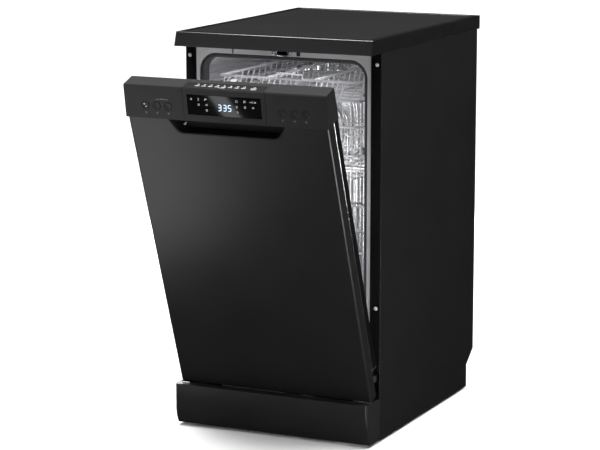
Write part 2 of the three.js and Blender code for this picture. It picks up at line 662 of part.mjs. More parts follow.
function doorInnerPanel() {
  const x = DOOR_HALF_WIDTH - GAP;
  const sideLow = DOOR_SEAM_Y + 2;
  const tray = box(-x, x, sideLow, DOOR_BACK_Y, DOOR_BOTTOM_Z, DOOR_TOP_Z - 1);
  const hollow = box(
    -x + SHEET, x - SHEET, sideLow - 2, DOOR_BACK_Y - WALL, DOOR_BOTTOM_Z + SHEET, DOOR_TOP_Z);
  const head = box(-220.5, 220.5, DOOR_BACK_Y - WALL, DOOR_BACK_Y, DOOR_TOP_Z - 3, FASCIA_TOP_Z - 2.8);
  const liner = roundedRect(-178, 178, FLANGE_BOTTOM_Z, 785, 30, 30);
  const linerInside = roundedRect(-178 + SHEET, 178 - SHEET, FLANGE_BOTTOM_Z + SHEET, 785 - SHEET, 29, 29);
  const pressed = sweepY(liner, DOOR_BACK_Y - 1, DOOR_LINER_Y, 5);
  const pressedInside = sweepY(linerInside, DOOR_BACK_Y - 3, DOOR_LINER_Y - SHEET, 5);
  const { halfWidth, low, high } = DISPENSER;
  const well = box(
    -halfWidth - GAP, halfWidth + GAP, DOOR_BACK_Y - 6, DOOR_LINER_Y + 4, low - GAP, high + GAP);
  const slot = box(-9, 9, DOOR_BACK_Y - 6, DOOR_BACK_Y + 2, LATCH_Z - 4, FASCIA_TOP_Z);
  const corners = [[CORNER_HALF_WIDTH, 230], [-230, -CORNER_HALF_WIDTH]].map(([x0, x1]) => (
    box(x0, x1, sideLow - 4, DOOR_LINER_Y + 4, DOOR_BOTTOM_Z - 4, FLANGE_BOTTOM_Z)));
  return cut(join(cut(tray, hollow), head, pressed), pressedInside, well, slot, ...corners);
}

// Everything on the fascia's sloping face is drawn with its outer face at y = 0 and z up the slope.
const onFascia = new THREE.Matrix4()
  .makeTranslation(0, FASCIA_BOTTOM_Y, DOOR_TOP_Z)
  .multiply(new THREE.Matrix4().makeRotationX(-FASCIA_TILT));

function fasciaSection(inset, back) {
  return outline([
    [FASCIA_BOTTOM_Y + inset, DOOR_TOP_Z + GAP + inset], [back, DOOR_TOP_Z + GAP + inset],
    [back, FASCIA_TOP_Z - inset], [FASCIA_TOP_Y + 2 + inset, FASCIA_TOP_Z - inset],
    [FASCIA_TOP_Y - 0.4 + inset, FASCIA_TOP_Z - 2.4 - inset],
  ]);
}

const PLATE = { halfWidth: 88, front: 8, back: 29.5, depth: 0.8 };   // bed of the programme list

function controlFascia() {
  const x = HALF_WIDTH - 0.2;
  const body = sweepX(fasciaSection(0, FASCIA_BACK_Y), -x, x);
  const inside = sweepX(fasciaSection(FASCIA_WALL, FASCIA_BACK_Y + 3), -x + FASCIA_WALL, x - FASCIA_WALL);
  const { halfWidth, bottom, top } = WINDOW;
  const windowHole = box(-halfWidth - GAP, halfWidth + GAP, -4, 8, bottom - GAP, top + GAP);
  const holes = BUTTON_XS.map((bx) => rod([bx, -4, BUTTON_HEIGHT], Y_AXIS, 12, BUTTON_R + 0.35, 24));
  const tools = [windowHole, ...holes].map((tool) => tool.applyMatrix4(onFascia));
  const plateBed = box(
    -PLATE.halfWidth, PLATE.halfWidth, PLATE.front, PLATE.back, FASCIA_TOP_Z - PLATE.depth, FASCIA_TOP_Z + 1);
  const seatX = x - FASCIA_WALL;
  const seatY = DOOR_BACK_Y - WALL - GAP;
  const backSeat = box(-seatX, seatX, seatY, FASCIA_BACK_Y + 1, DOOR_TOP_Z, DOOR_TOP_Z + 4);
  return cut(body, inside, plateBed, backSeat, ...tools);
}

function button() {
  return rod([0, -BUTTON_PROUD, 0], Y_AXIS, BUTTON_LENGTH, BUTTON_R, 24);
}

function controlBoard() {
  const board = box(-165, 165, 14, 15.6, 14, 56);
  const parts = [
    box(-60, 60, 5, 14.5, 20, 48),
    box(90, 130, 15, 24, 18, 44),
    box(-140, -110, 15, 22, 20, 50),
    box(-90, -70, 15, 25, 22, 40),
  ];
  return join(board, ...parts);
}

const TABLET = { x0: -78, x1: -8, z0: 446, z1: 506 };
const RINSE = { x: 45, z: 478, r: 19 };

function dispenserHousing() {
  const { halfWidth, low, high, front, back } = DISPENSER;
  const body = box(-halfWidth, halfWidth, front, back, low, high);
  const chamber = box(TABLET.x0, TABLET.x1, front + 8, back + 2, TABLET.z0, TABLET.z1);
  const filler = rod([RINSE.x, front + 8, RINSE.z], Y_AXIS, 40, RINSE.r - 4, 20);
  return cut(body, chamber, filler);
}

const FLAP_HINGE_Z = TABLET.z0 - 4;

// The tablet chamber's lid, drawn about its lower edge.
function dispenserFlap() {
  const lid = box(-37, 37, 0, 2.4, 1, TABLET.z1 - FLAP_HINGE_Z + 4);
  const catchRib = box(-8, 8, 2, 4.2, 58, 64);
  return join(lid, rod([-37, 1.4, 1.4], X_AXIS, 74, 1.4, 8), catchRib);
}

function rinseAidCap() {
  const disc = rod([0, 0, 0], Y_AXIS, 3, RINSE.r, 24);
  return join(disc, box(-14, 14, 2, 7, -2.5, 2.5));
}

function doorLatch() {
  const tongue = box(-6, 6, 0, 24, -1.6, 1.6);
  const hook = box(-6, 6, 20, 24, -1.6, 1.9);
  const barrel = rod([-6, 0, 0], X_AXIS, 12, 2, 10);
  return join(tongue, hook, barrel);
}

// ---- assembly -------------------------------------------------------------------------------
const dishwasher = new THREE.Group();

function addCase() {
  part(dishwasher, 'worktop_trim', worktopTrim(), BLACK_PLASTIC);
  part(dishwasher, 'worktop_board', worktopBoard(), BLACK_PAINT);
  pair(dishwasher, 'side_panel', sidePanel(), BLACK_PAINT);
  part(dishwasher, 'rear_panel', rearPanel(), ZINC);
  part(dishwasher, 'plinth', plinth(), BLACK_PLASTIC);
}

function addBase() {
  part(dishwasher, 'base_tray', baseTray(), DARK_PLASTIC);
  const corners = [['front_left', -1, 0], ['front_right', 1, 0], ['rear_left', -1, 1], ['rear_right', 1, 1]];
  for (const [corner, side, row] of corners) {
    part(dishwasher, `foot_${corner}`, foot(), DARK_PLASTIC).position.set(side * FOOT_X, FOOT_YS[row], 0);
  }
  part(dishwasher, 'sump_housing', sumpHousing(), GREY_PLASTIC);
  part(dishwasher, 'circulation_pump', circulationPump(), DARK_PLASTIC);
  part(dishwasher, 'drain_pump', drainPump(), DARK_PLASTIC);
  part(dishwasher, 'water_softener', waterSoftener(), WHITE_PLASTIC);
  part(dishwasher, 'inlet_valve', inletValve(), WHITE_PLASTIC);
  pair(dishwasher, 'hinge_bracket', hingeBracket(), ZINC);
  pair(dishwasher, 'door_spring', doorSpring(), ZINC);
}

function addTub() {
  part(dishwasher, 'tub_wrap', tubWrap(), STAINLESS);
  part(dishwasher, 'tub_back_wall', tubBackWall(), STAINLESS);
  part(dishwasher, 'tub_floor', tubFloor(), STAINLESS);
  part(dishwasher, 'tub_front_frame', tubFrontFrame(), STAINLESS);
  part(dishwasher, 'door_gasket', doorGasket(), RUBBER);
  part(dishwasher, 'water_feed_pipe', waterFeedPipe(), GREY_PLASTIC);
  part(dishwasher, 'filter_plate', filterPlate(), STAINLESS);
  part(dishwasher, 'filter_cylinder', filterCylinder(), GREY_PLASTIC).position.set(SUMP_X, SUMP_Y, 0);
  part(dishwasher, 'salt_cap', saltCap(), BLUE_PLASTIC).position.set(SALT_X, SALT_Y, TUB_FLOOR_Z + GAP);
}

function addSprayArms() {
  const lower = part(dishwasher, 'lower_spray_arm', sprayArm(158, 34, 9, 20, 14), GREY_PLASTIC);
  lower.position.set(0, ARM_AXIS_Y, TUB_FLOOR_Z + 21);
  const upper = part(dishwasher, 'upper_spray_arm', sprayArm(150, 30, 8, 16, 12), GREY_PLASTIC);
  upper.position.set(0, ARM_AXIS_Y, UPPER_RACK.low - WIRE / 2 - 6 - 2 * GAP - 12);
  const top = part(dishwasher, 'top_spray_arm', sprayArm(132, 26, 8, 14, 13), GREY_PLASTIC);
  top.position.set(0, ARM_AXIS_Y, TUB_ROOF_Z - 10 - GAP - 13);
}

function addRacks() {
  part(dishwasher, 'lower_rack', lowerRack(), SILVER_WIRE);
  for (const [row, y] of [['front', WHEEL_YS[0]], ['rear', WHEEL_YS[1]]]) {
    part(dishwasher, `rack_wheel_${row}_right`, rackWheel(), GREY_PLASTIC).position.set(170.5, y, WHEEL_Z);
    part(dishwasher, `rack_wheel_${row}_left`, rackWheel(), GREY_PLASTIC).position.set(-178.5, y, WHEEL_Z);
  }
  part(dishwasher, 'upper_rack', wireBasket(UPPER_RACK), SILVER_WIRE);
  part(dishwasher, 'upper_arm_manifold', upperManifold(), GREY_PLASTIC);
  pair(dishwasher, 'upper_rail', upperRail(), STAINLESS);
  part(dishwasher, 'cutlery_tray', cutleryTray(), GREY_PLASTIC);
}

// The door turns about the hinge line; inside its group everything keeps the closed machine's frame.
function addDoor() {
  const door = new THREE.Group();
  door.position.set(0, HINGE_Y, HINGE_Z);
  door.rotation.x = DOOR_AJAR;
  dishwasher.add(door);
  const closed = new THREE.Group();
  closed.position.set(0, -HINGE_Y, -HINGE_Z);
  door.add(closed);
  part(closed, 'door_outer_panel', doorOuterPanel(), BLACK_PAINT);
  part(closed, 'handle_recess', handleRecess(), DARK_PLASTIC);
  part(closed, 'door_inner_panel', doorInnerPanel(), STAINLESS);
  part(closed, 'control_fascia', controlFascia(), BLACK_PLASTIC);
  pair(closed, 'hinge_arm', hingeArm(), ZINC);
  const face = new THREE.Group();
  face.applyMatrix4(onFascia);
  closed.add(face);
  const { halfWidth, bottom, top, thick } = WINDOW;
  part(face, 'display_window', box(-halfWidth, halfWidth, 0, thick, bottom, top), BLACK_GLASS);
  part(face, 'control_board', controlBoard(), BOARD_GREEN);
  BUTTON_XS.forEach((x, i) => {
    part(face, `button_${i + 1}`, button(), BLACK_PLASTIC).position.set(x, 0, BUTTON_HEIGHT);
  });
  part(closed, 'dispenser_housing', dispenserHousing(), GREY_PLASTIC);
  const flap = part(closed, 'dispenser_flap', dispenserFlap(), WHITE_PLASTIC);
  flap.position.set((TABLET.x0 + TABLET.x1) / 2, DISPENSER.back + GAP, FLAP_HINGE_Z);
  const cap = part(closed, 'rinse_aid_cap', rinseAidCap(), GREY_PLASTIC);
  cap.position.set(RINSE.x, DISPENSER.back + GAP, RINSE.z);
  part(closed, 'door_latch', doorLatch(), ZINC).position.set(0, DOOR_BACK_Y - 6, LATCH_Z);
}

addCase();
addBase();
addTub();
addSprayArms();
addRacks();
addDoor();

dishwasher.updateMatrixWorld(true);
const extent = new THREE.Box3().setFromObject(dishwasher, true);
const middleY = Math.round(10 * (extent.min.y + extent.max.y) / 2) / 10;
dishwasher.position.y = -middleY;

export default dishwasher;
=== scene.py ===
import json
import math

import bmesh
import bpy
from mathutils import Matrix, Vector

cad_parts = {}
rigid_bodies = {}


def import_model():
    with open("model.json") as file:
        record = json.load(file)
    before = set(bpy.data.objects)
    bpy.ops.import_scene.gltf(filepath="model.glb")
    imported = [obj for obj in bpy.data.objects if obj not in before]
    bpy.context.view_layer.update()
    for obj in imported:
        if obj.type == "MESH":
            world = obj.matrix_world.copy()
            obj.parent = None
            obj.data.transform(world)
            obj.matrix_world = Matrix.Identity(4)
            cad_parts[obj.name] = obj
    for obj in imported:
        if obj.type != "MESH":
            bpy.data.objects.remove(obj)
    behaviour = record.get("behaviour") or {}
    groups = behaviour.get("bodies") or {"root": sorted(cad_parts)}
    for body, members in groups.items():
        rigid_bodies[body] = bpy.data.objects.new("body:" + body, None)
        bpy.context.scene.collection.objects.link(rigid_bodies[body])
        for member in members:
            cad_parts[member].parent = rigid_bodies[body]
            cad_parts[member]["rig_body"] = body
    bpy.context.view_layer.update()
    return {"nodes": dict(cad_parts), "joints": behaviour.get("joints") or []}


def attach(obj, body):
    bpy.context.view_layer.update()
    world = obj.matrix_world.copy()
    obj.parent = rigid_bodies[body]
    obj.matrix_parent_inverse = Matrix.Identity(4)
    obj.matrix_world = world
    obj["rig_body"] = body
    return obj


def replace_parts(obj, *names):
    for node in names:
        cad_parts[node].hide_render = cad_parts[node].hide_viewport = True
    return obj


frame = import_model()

# A freestanding slimline dishwasher with its door ajar. Lengths are in metres.

MM = 0.001
WORKTOP_FRONT = -187.5 * MM  # y of the worktop's front edge
NODES = frame["nodes"]
JOINTS = {joint["name"]: joint for joint in frame["joints"]}
X, Y, Z = Vector((1, 0, 0)), Vector((0, 1, 0)), Vector((0, 0, 1))
QUARTER = math.radians(90)
FACING_FRONT = Matrix.Rotation(QUARTER, 4, "X")
FACING_REAR = Matrix.Rotation(-QUARTER, 4, "X")


# ---- places that the frame gives ------------------------------------------------------------
def door_swing():
    """Carries the closed door to where it stands ajar."""
    hinge = JOINTS["door_hinge"]
    pin = Vector(hinge["pos_m"])
    ajar = math.radians(-hinge["range_deg"][0])
    return Matrix.Translation(pin) @ Matrix.Rotation(ajar, 4, "X") @ Matrix.Translation(-pin)


DOOR = door_swing()


def extent(node, matrix=Matrix()):
    """Lowest and highest corner of a node, measured in the frame that matrix carries to the row."""
    back = matrix.inverted()
    points = [back @ vertex.co for vertex in NODES[node].data.vertices]
    low = Vector([min(p[i] for p in points) for i in range(3)])
    high = Vector([max(p[i] for p in points) for i in range(3)])
    return low, high


def fascia_frame():
    """The fascia's sloping face: x to the right, y inward from the glass, z up from the lower edge."""
    inward = Vector(JOINTS["button_1_press"]["axis"]).normalized()
    up = X.cross(inward)
    turn = Matrix((X, inward, up)).transposed().to_4x4()
    low, _ = extent("display_window", turn)
    window_bottom = 13 * MM
    return turn @ Matrix.Translation((0, low.y, low.z - window_bottom))


FACE = fascia_frame()


# ---- mesh helpers ---------------------------------------------------------------------------
WELD = 2e-6   # points nearer than this are one
TOUCH = 1e-7  # and the same for points that a cut or a turn has just made


def mm(points):
    """Points that are given in millimetres."""
    return [tuple(value * MM for value in point) for point in points]


def side_name(side):
    return "right" if side > 0 else "left"


def piece(bm, name, body, slot, matrix=Matrix(), smooth=40, look=None, weighted=False):
    """Makes an object of a bmesh, in the row frame, riding on a body, with its slot's look."""
    bmesh.ops.transform(bm, matrix=matrix, verts=bm.verts)
    bmesh.ops.recalc_face_normals(bm, faces=bm.faces)
    mesh = bpy.data.meshes.new(name)
    bm.to_mesh(mesh)
    bm.free()
    mesh.materials.append(look or LOOKS[slot])
    mesh.polygons.foreach_set("use_smooth", [True] * len(mesh.polygons))
    mesh.set_sharp_from_angle(angle=math.radians(smooth))
    made = bpy.data.objects.new(name, mesh)
    bpy.context.scene.collection.objects.link(made)
    if weighted:
        made.modifiers.new("normals", "WEIGHTED_NORMAL").keep_sharp = True
    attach(made, body)
    return made


def rounded_box(bm, low, high, radius, segments=2, matrix=Matrix()):
    """A block between two corners with every edge rounded."""
    low, high = Vector(low), Vector(high)
    size = Matrix.Diagonal((*(high - low), 1))
    made = bmesh.ops.create_cube(bm, size=1, matrix=Matrix.Translation((low + high) / 2) @ size)
    edges = list({edge for vertex in made["verts"] for edge in vertex.link_edges})
    rounded = bmesh.ops.bevel(
        bm, geom=edges, offset=radius, segments=segments, profile=0.5, affect="EDGES", clamp_overlap=True)
    corners = {vertex for face in rounded["faces"] for vertex in face.verts}
    bmesh.ops.transform(bm, matrix=matrix, verts=list(corners))


def ring_faces(bm, rings, closed=False):
    """Skins a row of equal rings of vertices."""
    count = len(rings)
    for i in range(count if closed else count - 1):
        a, b = rings[i], rings[(i + 1) % count]
        for j in range(len(a)):
            k = (j + 1) % len(a)
            bm.faces.new((a[j], a[k], b[k], b[j]))


def sweep(bm, path, section, closed=False, up=Z):
    """Carries a section of (side, up) points along a path of points."""
    path = [Vector(p) for p in path]
    count = len(path)
    tangents = []
    for i in range(count):
        before = path[i - 1] if closed or i else path[0]
        after = path[(i + 1) % count] if closed or i < count - 1 else path[-1]
        tangents.append((after - before).normalized())
    lift = up if abs(tangents[0].dot(up)) < 0.9 else (X if abs(tangents[0].dot(X)) < 0.9 else Y)
    lift = (lift - tangents[0] * lift.dot(tangents[0])).normalized()
    rings = []
    for i, tangent in enumerate(tangents):
        if i:
            lift = tangents[i - 1].rotation_difference(tangent) @ lift
        side = tangent.cross(lift)
        rings.append([bm.verts.new(path[i] + side * a + lift * b) for a, b in section])
    ring_faces(bm, rings, closed)
    if not closed:
        bm.faces.new(rings[0])
        bm.faces.new(reversed(rings[-1]))


def circle(radius, sides=8):
    """A round section, as (side, up) points."""
    turns = [2 * math.pi * i / sides for i in range(sides)]
    return [(radius * math.cos(a), radius * math.sin(a)) for a in turns]


def rounded(points, radius, parts=5, closed=False):
    """The same route with each corner turned into an arc."""
    straight = math.radians(89)
    points = [Vector(p) for p in points]
    count = len(points)
    route = []
    for i, corner in enumerate(points):
        if not closed and i in (0, count - 1):
            route.append(corner)
            continue
        to_last = (points[i - 1] - corner).normalized()
        to_next = (points[(i + 1) % count] - corner).normalized()
        half = to_last.angle(to_next) / 2
        if half > straight:
            route.append(corner)
            continue
        centre = corner + (to_last + to_next).normalized() * (radius / math.sin(half))
        reach = radius / math.tan(half)
        start = (corner + to_last * reach - centre).normalized()
        end = (corner + to_next * reach - centre).normalized()
        route += [centre + start.slerp(end, k / parts) * radius for k in range(parts + 1)]
    return route


def lathe(bm, profile, matrix=Matrix(), sides=32):
    """Turns a profile of (radius, height) points about the upright axis."""
    on_axis = 1e-9
    rings = []
    for radius, height in profile:
        if radius < on_axis:
            rings.append([bm.verts.new(matrix @ Vector((0, 0, height)))])
        else:
            rings.append([bm.verts.new(matrix @ Vector((a, b, height))) for a, b in circle(radius, sides)])
    for low, high in zip(rings, rings[1:]):
        for j in range(sides):
            k = (j + 1) % sides
            face = [low[j % len(low)], low[k % len(low)], high[k % len(high)], high[j % len(high)]]
            bm.faces.new(dict.fromkeys(face))


def prism(bm, outline, start, end, matrix=Matrix()):
    """A flat outline of (x, z) points carried from y = start to y = end."""
    front = [bm.verts.new(matrix @ Vector((x, start, z))) for x, z in outline]
    back = [bm.verts.new(matrix @ Vector((x, end, z))) for x, z in outline]
    ring_faces(bm, [front, back])
    bm.faces.new(reversed(front))
    bm.faces.new(back)


def relief(bm, width, height, columns, rows, depth, matrix):
    """A pressed sheet: a grid in x and z whose points stand depth(x, z) towards -y."""
    grid = []
    for j in range(rows + 1):
        z = height * (j / rows - 0.5)
        xs = [width * (i / columns - 0.5) for i in range(columns + 1)]
        grid.append([bm.verts.new(matrix @ Vector((x, -depth(x, z), z))) for x in xs])
    for low, high in zip(grid, grid[1:]):
        for i in range(columns):
            bm.faces.new((low[i], low[i + 1], high[i + 1], high[i]))


def ridge(distance, width):
    """A pressed line's height, from 1 on the line to 0 away from it."""
    return math.exp(-(distance / width) ** 2)


def steps(start, end, count):
    """Evenly spaced values from start to end, both included."""
    return [start + (end - start) * k / count for k in range(count + 1)]


def halves(bm, point, normal, gap):
    """Splits a closed bmesh by a plane into two closed ones, a gap apart."""
    made = []
    for side in (1, -1):
        part = bm.copy()
        cut = bmesh.ops.bisect_plane(
            part, geom=part.verts[:] + part.edges[:] + part.faces[:], dist=TOUCH,
            plane_co=Vector(point) + Vector(normal) * side * gap / 2, plane_no=Vector(normal) * -side,
            clear_outer=True)
        edges = [e for e in cut["geom_cut"] if isinstance(e, bmesh.types.BMEdge)]
        bmesh.ops.triangle_fill(part, edges=edges, use_beauty=True, use_dissolve=True)
        made.append(part)
    bm.free()
    return made


def refined(node, width, seams=(), segments=3, sharp=25, look=None, gap=0.35 * MM):
    """The node's own shape with every hard edge rounded, and split by any seams."""
    bm = bmesh.new()
    bm.from_mesh(NODES[node].data)
    bmesh.ops.remove_doubles(bm, verts=bm.verts, dist=WELD)
    level = math.radians(0.6)
    bmesh.ops.dissolve_limit(bm, angle_limit=level, verts=bm.verts, edges=bm.edges)
    parts = [bm]
    for point, normal in seams:
        parts = [half for part in parts for half in halves(part, point, normal, gap)]
    whole = bmesh.new()
    for part in parts:
        hard = [e for e in part.edges if e.is_manifold and e.calc_face_angle(0) > math.radians(sharp)]
        bmesh.ops.bevel(
            part, geom=hard, offset=width, segments=segments, profile=0.5, affect="EDGES", clamp_overlap=True)
        loose = bpy.data.meshes.new("loose")
        part.to_mesh(loose)
        part.free()
        whole.from_mesh(loose)
        bpy.data.meshes.remove(loose)
    slot = NODES[node].data.materials[0].name
    made = piece(whole, f"{node}.fine", NODES[node]["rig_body"], slot, look=look, weighted=True)
    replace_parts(made, node)
    return made


# ---- looks ----------------------------------------------------------------------------------
def link(tree, output, target):
    tree.links.new(output, target)


def field(tree, scale, stretch=(1, 1, 1), kind="ShaderNodeTexNoise", detail=4.0):
    """A noise in the object's own space."""
    coords = tree.nodes.new("ShaderNodeTexCoord")
    mapping = tree.nodes.new("ShaderNodeMapping")
    mapping.inputs["Scale"].default_value = stretch
    made = tree.nodes.new(kind)
    made.inputs["Scale"].default_value = scale
    if "Detail" in made.inputs:
        made.inputs["Detail"].default_value = detail
    link(tree, coords.outputs["Object"], mapping.inputs["Vector"])
    link(tree, mapping.outputs["Vector"], made.inputs["Vector"])
    return made


def spread(tree, source, low, high, clip=(0.3, 0.7)):
    """Carries a value from the clip's range to the range low to high."""
    made = tree.nodes.new("ShaderNodeMapRange")
    made.inputs["From Min"].default_value, made.inputs["From Max"].default_value = clip
    made.inputs["To Min"].default_value, made.inputs["To Max"].default_value = low, high
    link(tree, source, made.inputs["Value"])
    return made.outputs["Result"]


def look(name, dark, light, rough, metal=0.0, specular=0.5, patch=9.0, grain=1400.0, bump=0.08,
         stretch=(1, 1, 1), coat=0.0, vary=0.06, cells=False):
    """A finish: two tones in soft patches, a fine grain in the bump, and a roughness that varies."""
    material = bpy.data.materials.new(name)
    material.use_nodes = True
    tree = material.node_tree
    shader = tree.nodes["Principled BSDF"]
    shader.inputs["Metallic"].default_value = metal
    shader.inputs["Specular IOR Level"].default_value = specular
    shader.inputs["Coat Weight"].default_value = coat
    shader.inputs["Coat Roughness"].default_value = 0.04
    patches = field(tree, patch, kind="ShaderNodeTexVoronoi" if cells else "ShaderNodeTexNoise")
    tones = tree.nodes.new("ShaderNodeMix")
    tones.data_type = "RGBA"
    tones.inputs["A"].default_value = (*dark, 1)
    tones.inputs["B"].default_value = (*light, 1)
    if cells:
        grey = tree.nodes.new("ShaderNodeSeparateColor")
        link(tree, patches.outputs["Color"], grey.inputs["Color"])
        link(tree, grey.outputs["Red"], tones.inputs["Factor"])
    else:
        link(tree, spread(tree, patches.outputs["Fac"], 0, 1), tones.inputs["Factor"])
    link(tree, tones.outputs["Result"], shader.inputs["Base Color"])
    fine = field(tree, grain, stretch)
    link(tree, spread(tree, fine.outputs["Fac"], rough - vary, rough + vary), shader.inputs["Roughness"])
    bumps = tree.nodes.new("ShaderNodeBump")
    bumps.inputs["Strength"].default_value = bump
    bumps.inputs["Distance"].default_value = 0.2 * MM
    link(tree, fine.outputs["Fac"], bumps.inputs["Height"])
    link(tree, bumps.outputs["Normal"], shader.inputs["Normal"])
    return material


def glowing(name, colour, strength):
    """A lit segment, a little uneven."""
    material = look(name, [c * 0.9 for c in colour], colour, 0.4)
    shader = material.node_tree.nodes["Principled BSDF"]
    shader.inputs["Emission Color"].default_value = (*colour, 1)
    shader.inputs["Emission Strength"].default_value = strength
    return material


def grey(value, tint=1.0):
    """A neutral tone, or a slightly blue one where tint is over 1."""
    return (value, value, value * tint)


BRUSHED_ACROSS = (0.02, 1, 1)
BRUSHED_UP = (1, 1, 0.02)
LOOKS = {
    "black_paint": look("black_paint", grey(0.0055), grey(0.0070, 1.03), 0.36, specular=0.46, bump=0.08),
    "black_laminate": look("black_laminate", grey(0.0042), grey(0.0058), 0.5, specular=0.2, grain=900,
                           bump=0.3),
    "black_plastic": look("black_plastic", grey(0.0085), grey(0.011, 1.03), 0.40, specular=0.35, bump=0.16),
    "dark_plastic": look("dark_plastic", grey(0.006), grey(0.009), 0.55, specular=0.3, bump=0.2),
    "black_glass": look("black_glass", grey(0.0012), grey(0.0018), 0.05, coat=0.3, bump=0.0, vary=0.015),
    "stainless": look("stainless", grey(0.70, 1.01), grey(0.80, 1.02), 0.17, metal=0.97, grain=900,
                      stretch=BRUSHED_ACROSS, bump=0.02, vary=0.03),
    "zinc_plate": look("zinc_plate", grey(0.36, 1.03), grey(0.50, 1.05), 0.42, metal=0.6, patch=60,
                       cells=True),
    "seal_rubber": look("seal_rubber", grey(0.035, 1.08), grey(0.05, 1.08), 0.7, grain=600, bump=0.25),
    "grey_plastic": look("grey_plastic", grey(0.46, 1.04), grey(0.52, 1.04), 0.42, bump=0.14),
    "white_plastic": look("white_plastic", grey(0.72, 0.99), grey(0.78, 1.0), 0.38, bump=0.12),
    "blue_plastic": look("blue_plastic", (0.04, 0.12, 0.30), (0.05, 0.15, 0.36), 0.42, bump=0.14),
    "rack_wire": look("rack_wire", grey(0.78, 1.02), grey(0.86, 1.02), 0.24, metal=0.35, patch=40,
                      grain=1800),
    "circuit_board": look("circuit_board", (0.008, 0.05, 0.018), (0.012, 0.09, 0.03), 0.35, patch=160,
                          cells=True, coat=0.4),
}
PRINT = look("pale_print", grey(0.52, 1.04), grey(0.60, 1.04), 0.5)
MATT_BLACK = look("matt_black", grey(0.0012), grey(0.0020), 0.75, specular=0.08, bump=0.1)
DARK_STEEL = look("phosphated_steel", grey(0.030, 1.03), grey(0.045, 1.03), 0.5, metal=0.3)
TRIM_LOOK = look("worktop_trim", grey(0.0040), grey(0.0055), 0.22, specular=0.6, grain=900, bump=0.06,
                 vary=0.03)
FRAME_STEEL = look("frame_steel", grey(0.46, 1.01), grey(0.56, 1.02), 0.34, metal=0.75, grain=900,
                   stretch=BRUSHED_ACROSS, bump=0.02, vary=0.03)
CAP = look("screw_cap", grey(0.30), grey(0.38), 0.4)
DIM_PRINT = look("dim_print", grey(0.20, 1.05), grey(0.26, 1.05), 0.5)
PLATE_LOOK = look("plate_print", grey(0.004), grey(0.006), 0.35, specular=0.25)
BUTTON_LOOK = look("button_cap", grey(0.007), grey(0.009), 0.35, specular=0.35, bump=0.06)
DIGIT_LIGHT = glowing("digit_light", (0.56, 0.76, 1.0), 1.15)
STEEL_UP = look("stainless_upright", grey(0.70, 1.01), grey(0.80, 1.02), 0.16, metal=0.97, grain=900,
                stretch=BRUSHED_UP, bump=0.02, vary=0.03)


# ---- camera, light and floor ----------------------------------------------------------------
def add_camera():
    data = bpy.data.cameras.new("camera")
    data.sensor_width = 36
    data.lens = 138.6
    data.clip_end = 100
    camera = bpy.data.objects.new("camera", data)
    camera.location = (2.0530, -4.4246, 1.3367)
    camera.rotation_euler = (math.radians(79.36), 0, math.radians(25.17))
    bpy.context.scene.collection.objects.link(camera)
    bpy.context.scene.camera = camera


def add_lamp(name, place, target, size, power, roll=0.0):
    data = bpy.data.lights.new(name, "AREA")
    data.shape = "RECTANGLE"
    data.size, data.size_y = size
    data.energy = power
    lamp = bpy.data.objects.new(name, data)
    lamp.location = place
    facing = (Vector(target) - Vector(place)).to_track_quat("-Z", "Y").to_matrix()
    lamp.rotation_euler = (facing @ Matrix.Rotation(math.radians(roll), 3, "Z")).to_euler()
    lamp.visible_camera = False
    bpy.context.scene.collection.objects.link(lamp)


def add_room():
    """A pale floor that ends out of sight, and a soft sky that is brighter overhead."""
    floor = bpy.data.meshes.new("floor")
    reach = 60.0
    corners = [(-reach, -reach, 0), (reach, -reach, 0), (reach, reach, 0), (-reach, reach, 0)]
    floor.from_pydata(corners, [], [(0, 1, 2, 3)])
    floor.materials.append(look("floor", grey(0.86), grey(0.88), 0.8, specular=0.1, patch=2))
    ground = bpy.data.objects.new("floor", floor)
    ground.visible_glossy = False
    bpy.context.scene.collection.objects.link(ground)
    world = bpy.data.worlds.new("studio")
    bpy.context.scene.world = world
    world.use_nodes = True
    tree = world.node_tree
    sky = tree.nodes["Background"]
    coords = tree.nodes.new("ShaderNodeTexCoord")
    parts = tree.nodes.new("ShaderNodeSeparateXYZ")
    link(tree, coords.outputs["Generated"], parts.inputs["Vector"])
    level_sky, overhead_sky, rise = 0.03, 0.6, (0.4, 1.0)
    ramp = tree.nodes.new("ShaderNodeValToRGB")
    ramp.color_ramp.elements[0].color = (*grey(level_sky), 1)
    ramp.color_ramp.elements[1].color = (*grey(overhead_sky), 1)
    link(tree, spread(tree, parts.outputs["Z"], 0, 1, rise), ramp.inputs["Fac"])
    seen = tree.nodes.new("ShaderNodeMix")
    seen.data_type = "RGBA"
    path = tree.nodes.new("ShaderNodeLightPath")
    link(tree, path.outputs["Is Camera Ray"], seen.inputs["Factor"])
    link(tree, ramp.outputs["Color"], seen.inputs["A"])
    seen.inputs["B"].default_value = (1, 1, 1, 1)
    link(tree, seen.outputs["Result"], sky.inputs["Color"])
    sky.inputs["Strength"].default_value = 1.0
    bpy.context.scene.view_settings.view_transform = "Standard"


LAMPS = [  # name, place, target, size, power, roll
    ("front_box", (-0.95, -2.2, 1.1), (0, -0.2, 0.8), (1.0, 1.6), 2.4, 0),
    ("floor_card", (-0.72, -0.98, 0.18), (-0.555, -0.74, 1.08), (0.35, 1.0), 2.6, 0),
    ("right_strip", (1.55, -0.93, 0.34), (0.22, -0.35, 0.6), (0.3, 0.6), 4, 0),
    ("right_floor", (0.95, -0.6, 0.14), (0.22, -0.33, 0.5), (0.3, 0.3), 6, 0),
    ("right_high", (1.0, 0.15, 1.45), (0.22, 0.15, 0.8), (0.5, 0.5), 12, 0),
    ("top_box", (-0.8, -0.6, 2.7), (0, -0.19, 0.84), (0.6, 0.6), 45, 0),
    ("back_fill", (-1.1, 2.2, 0.35), (0, 0.4, 0.45), (1.0, 0.5), 30, 0),
    ("window_streak", (-0.44, -1.22, 0.24), (0, -0.41, 0.73), (0.035, 0.5), 0.10, 24),
]


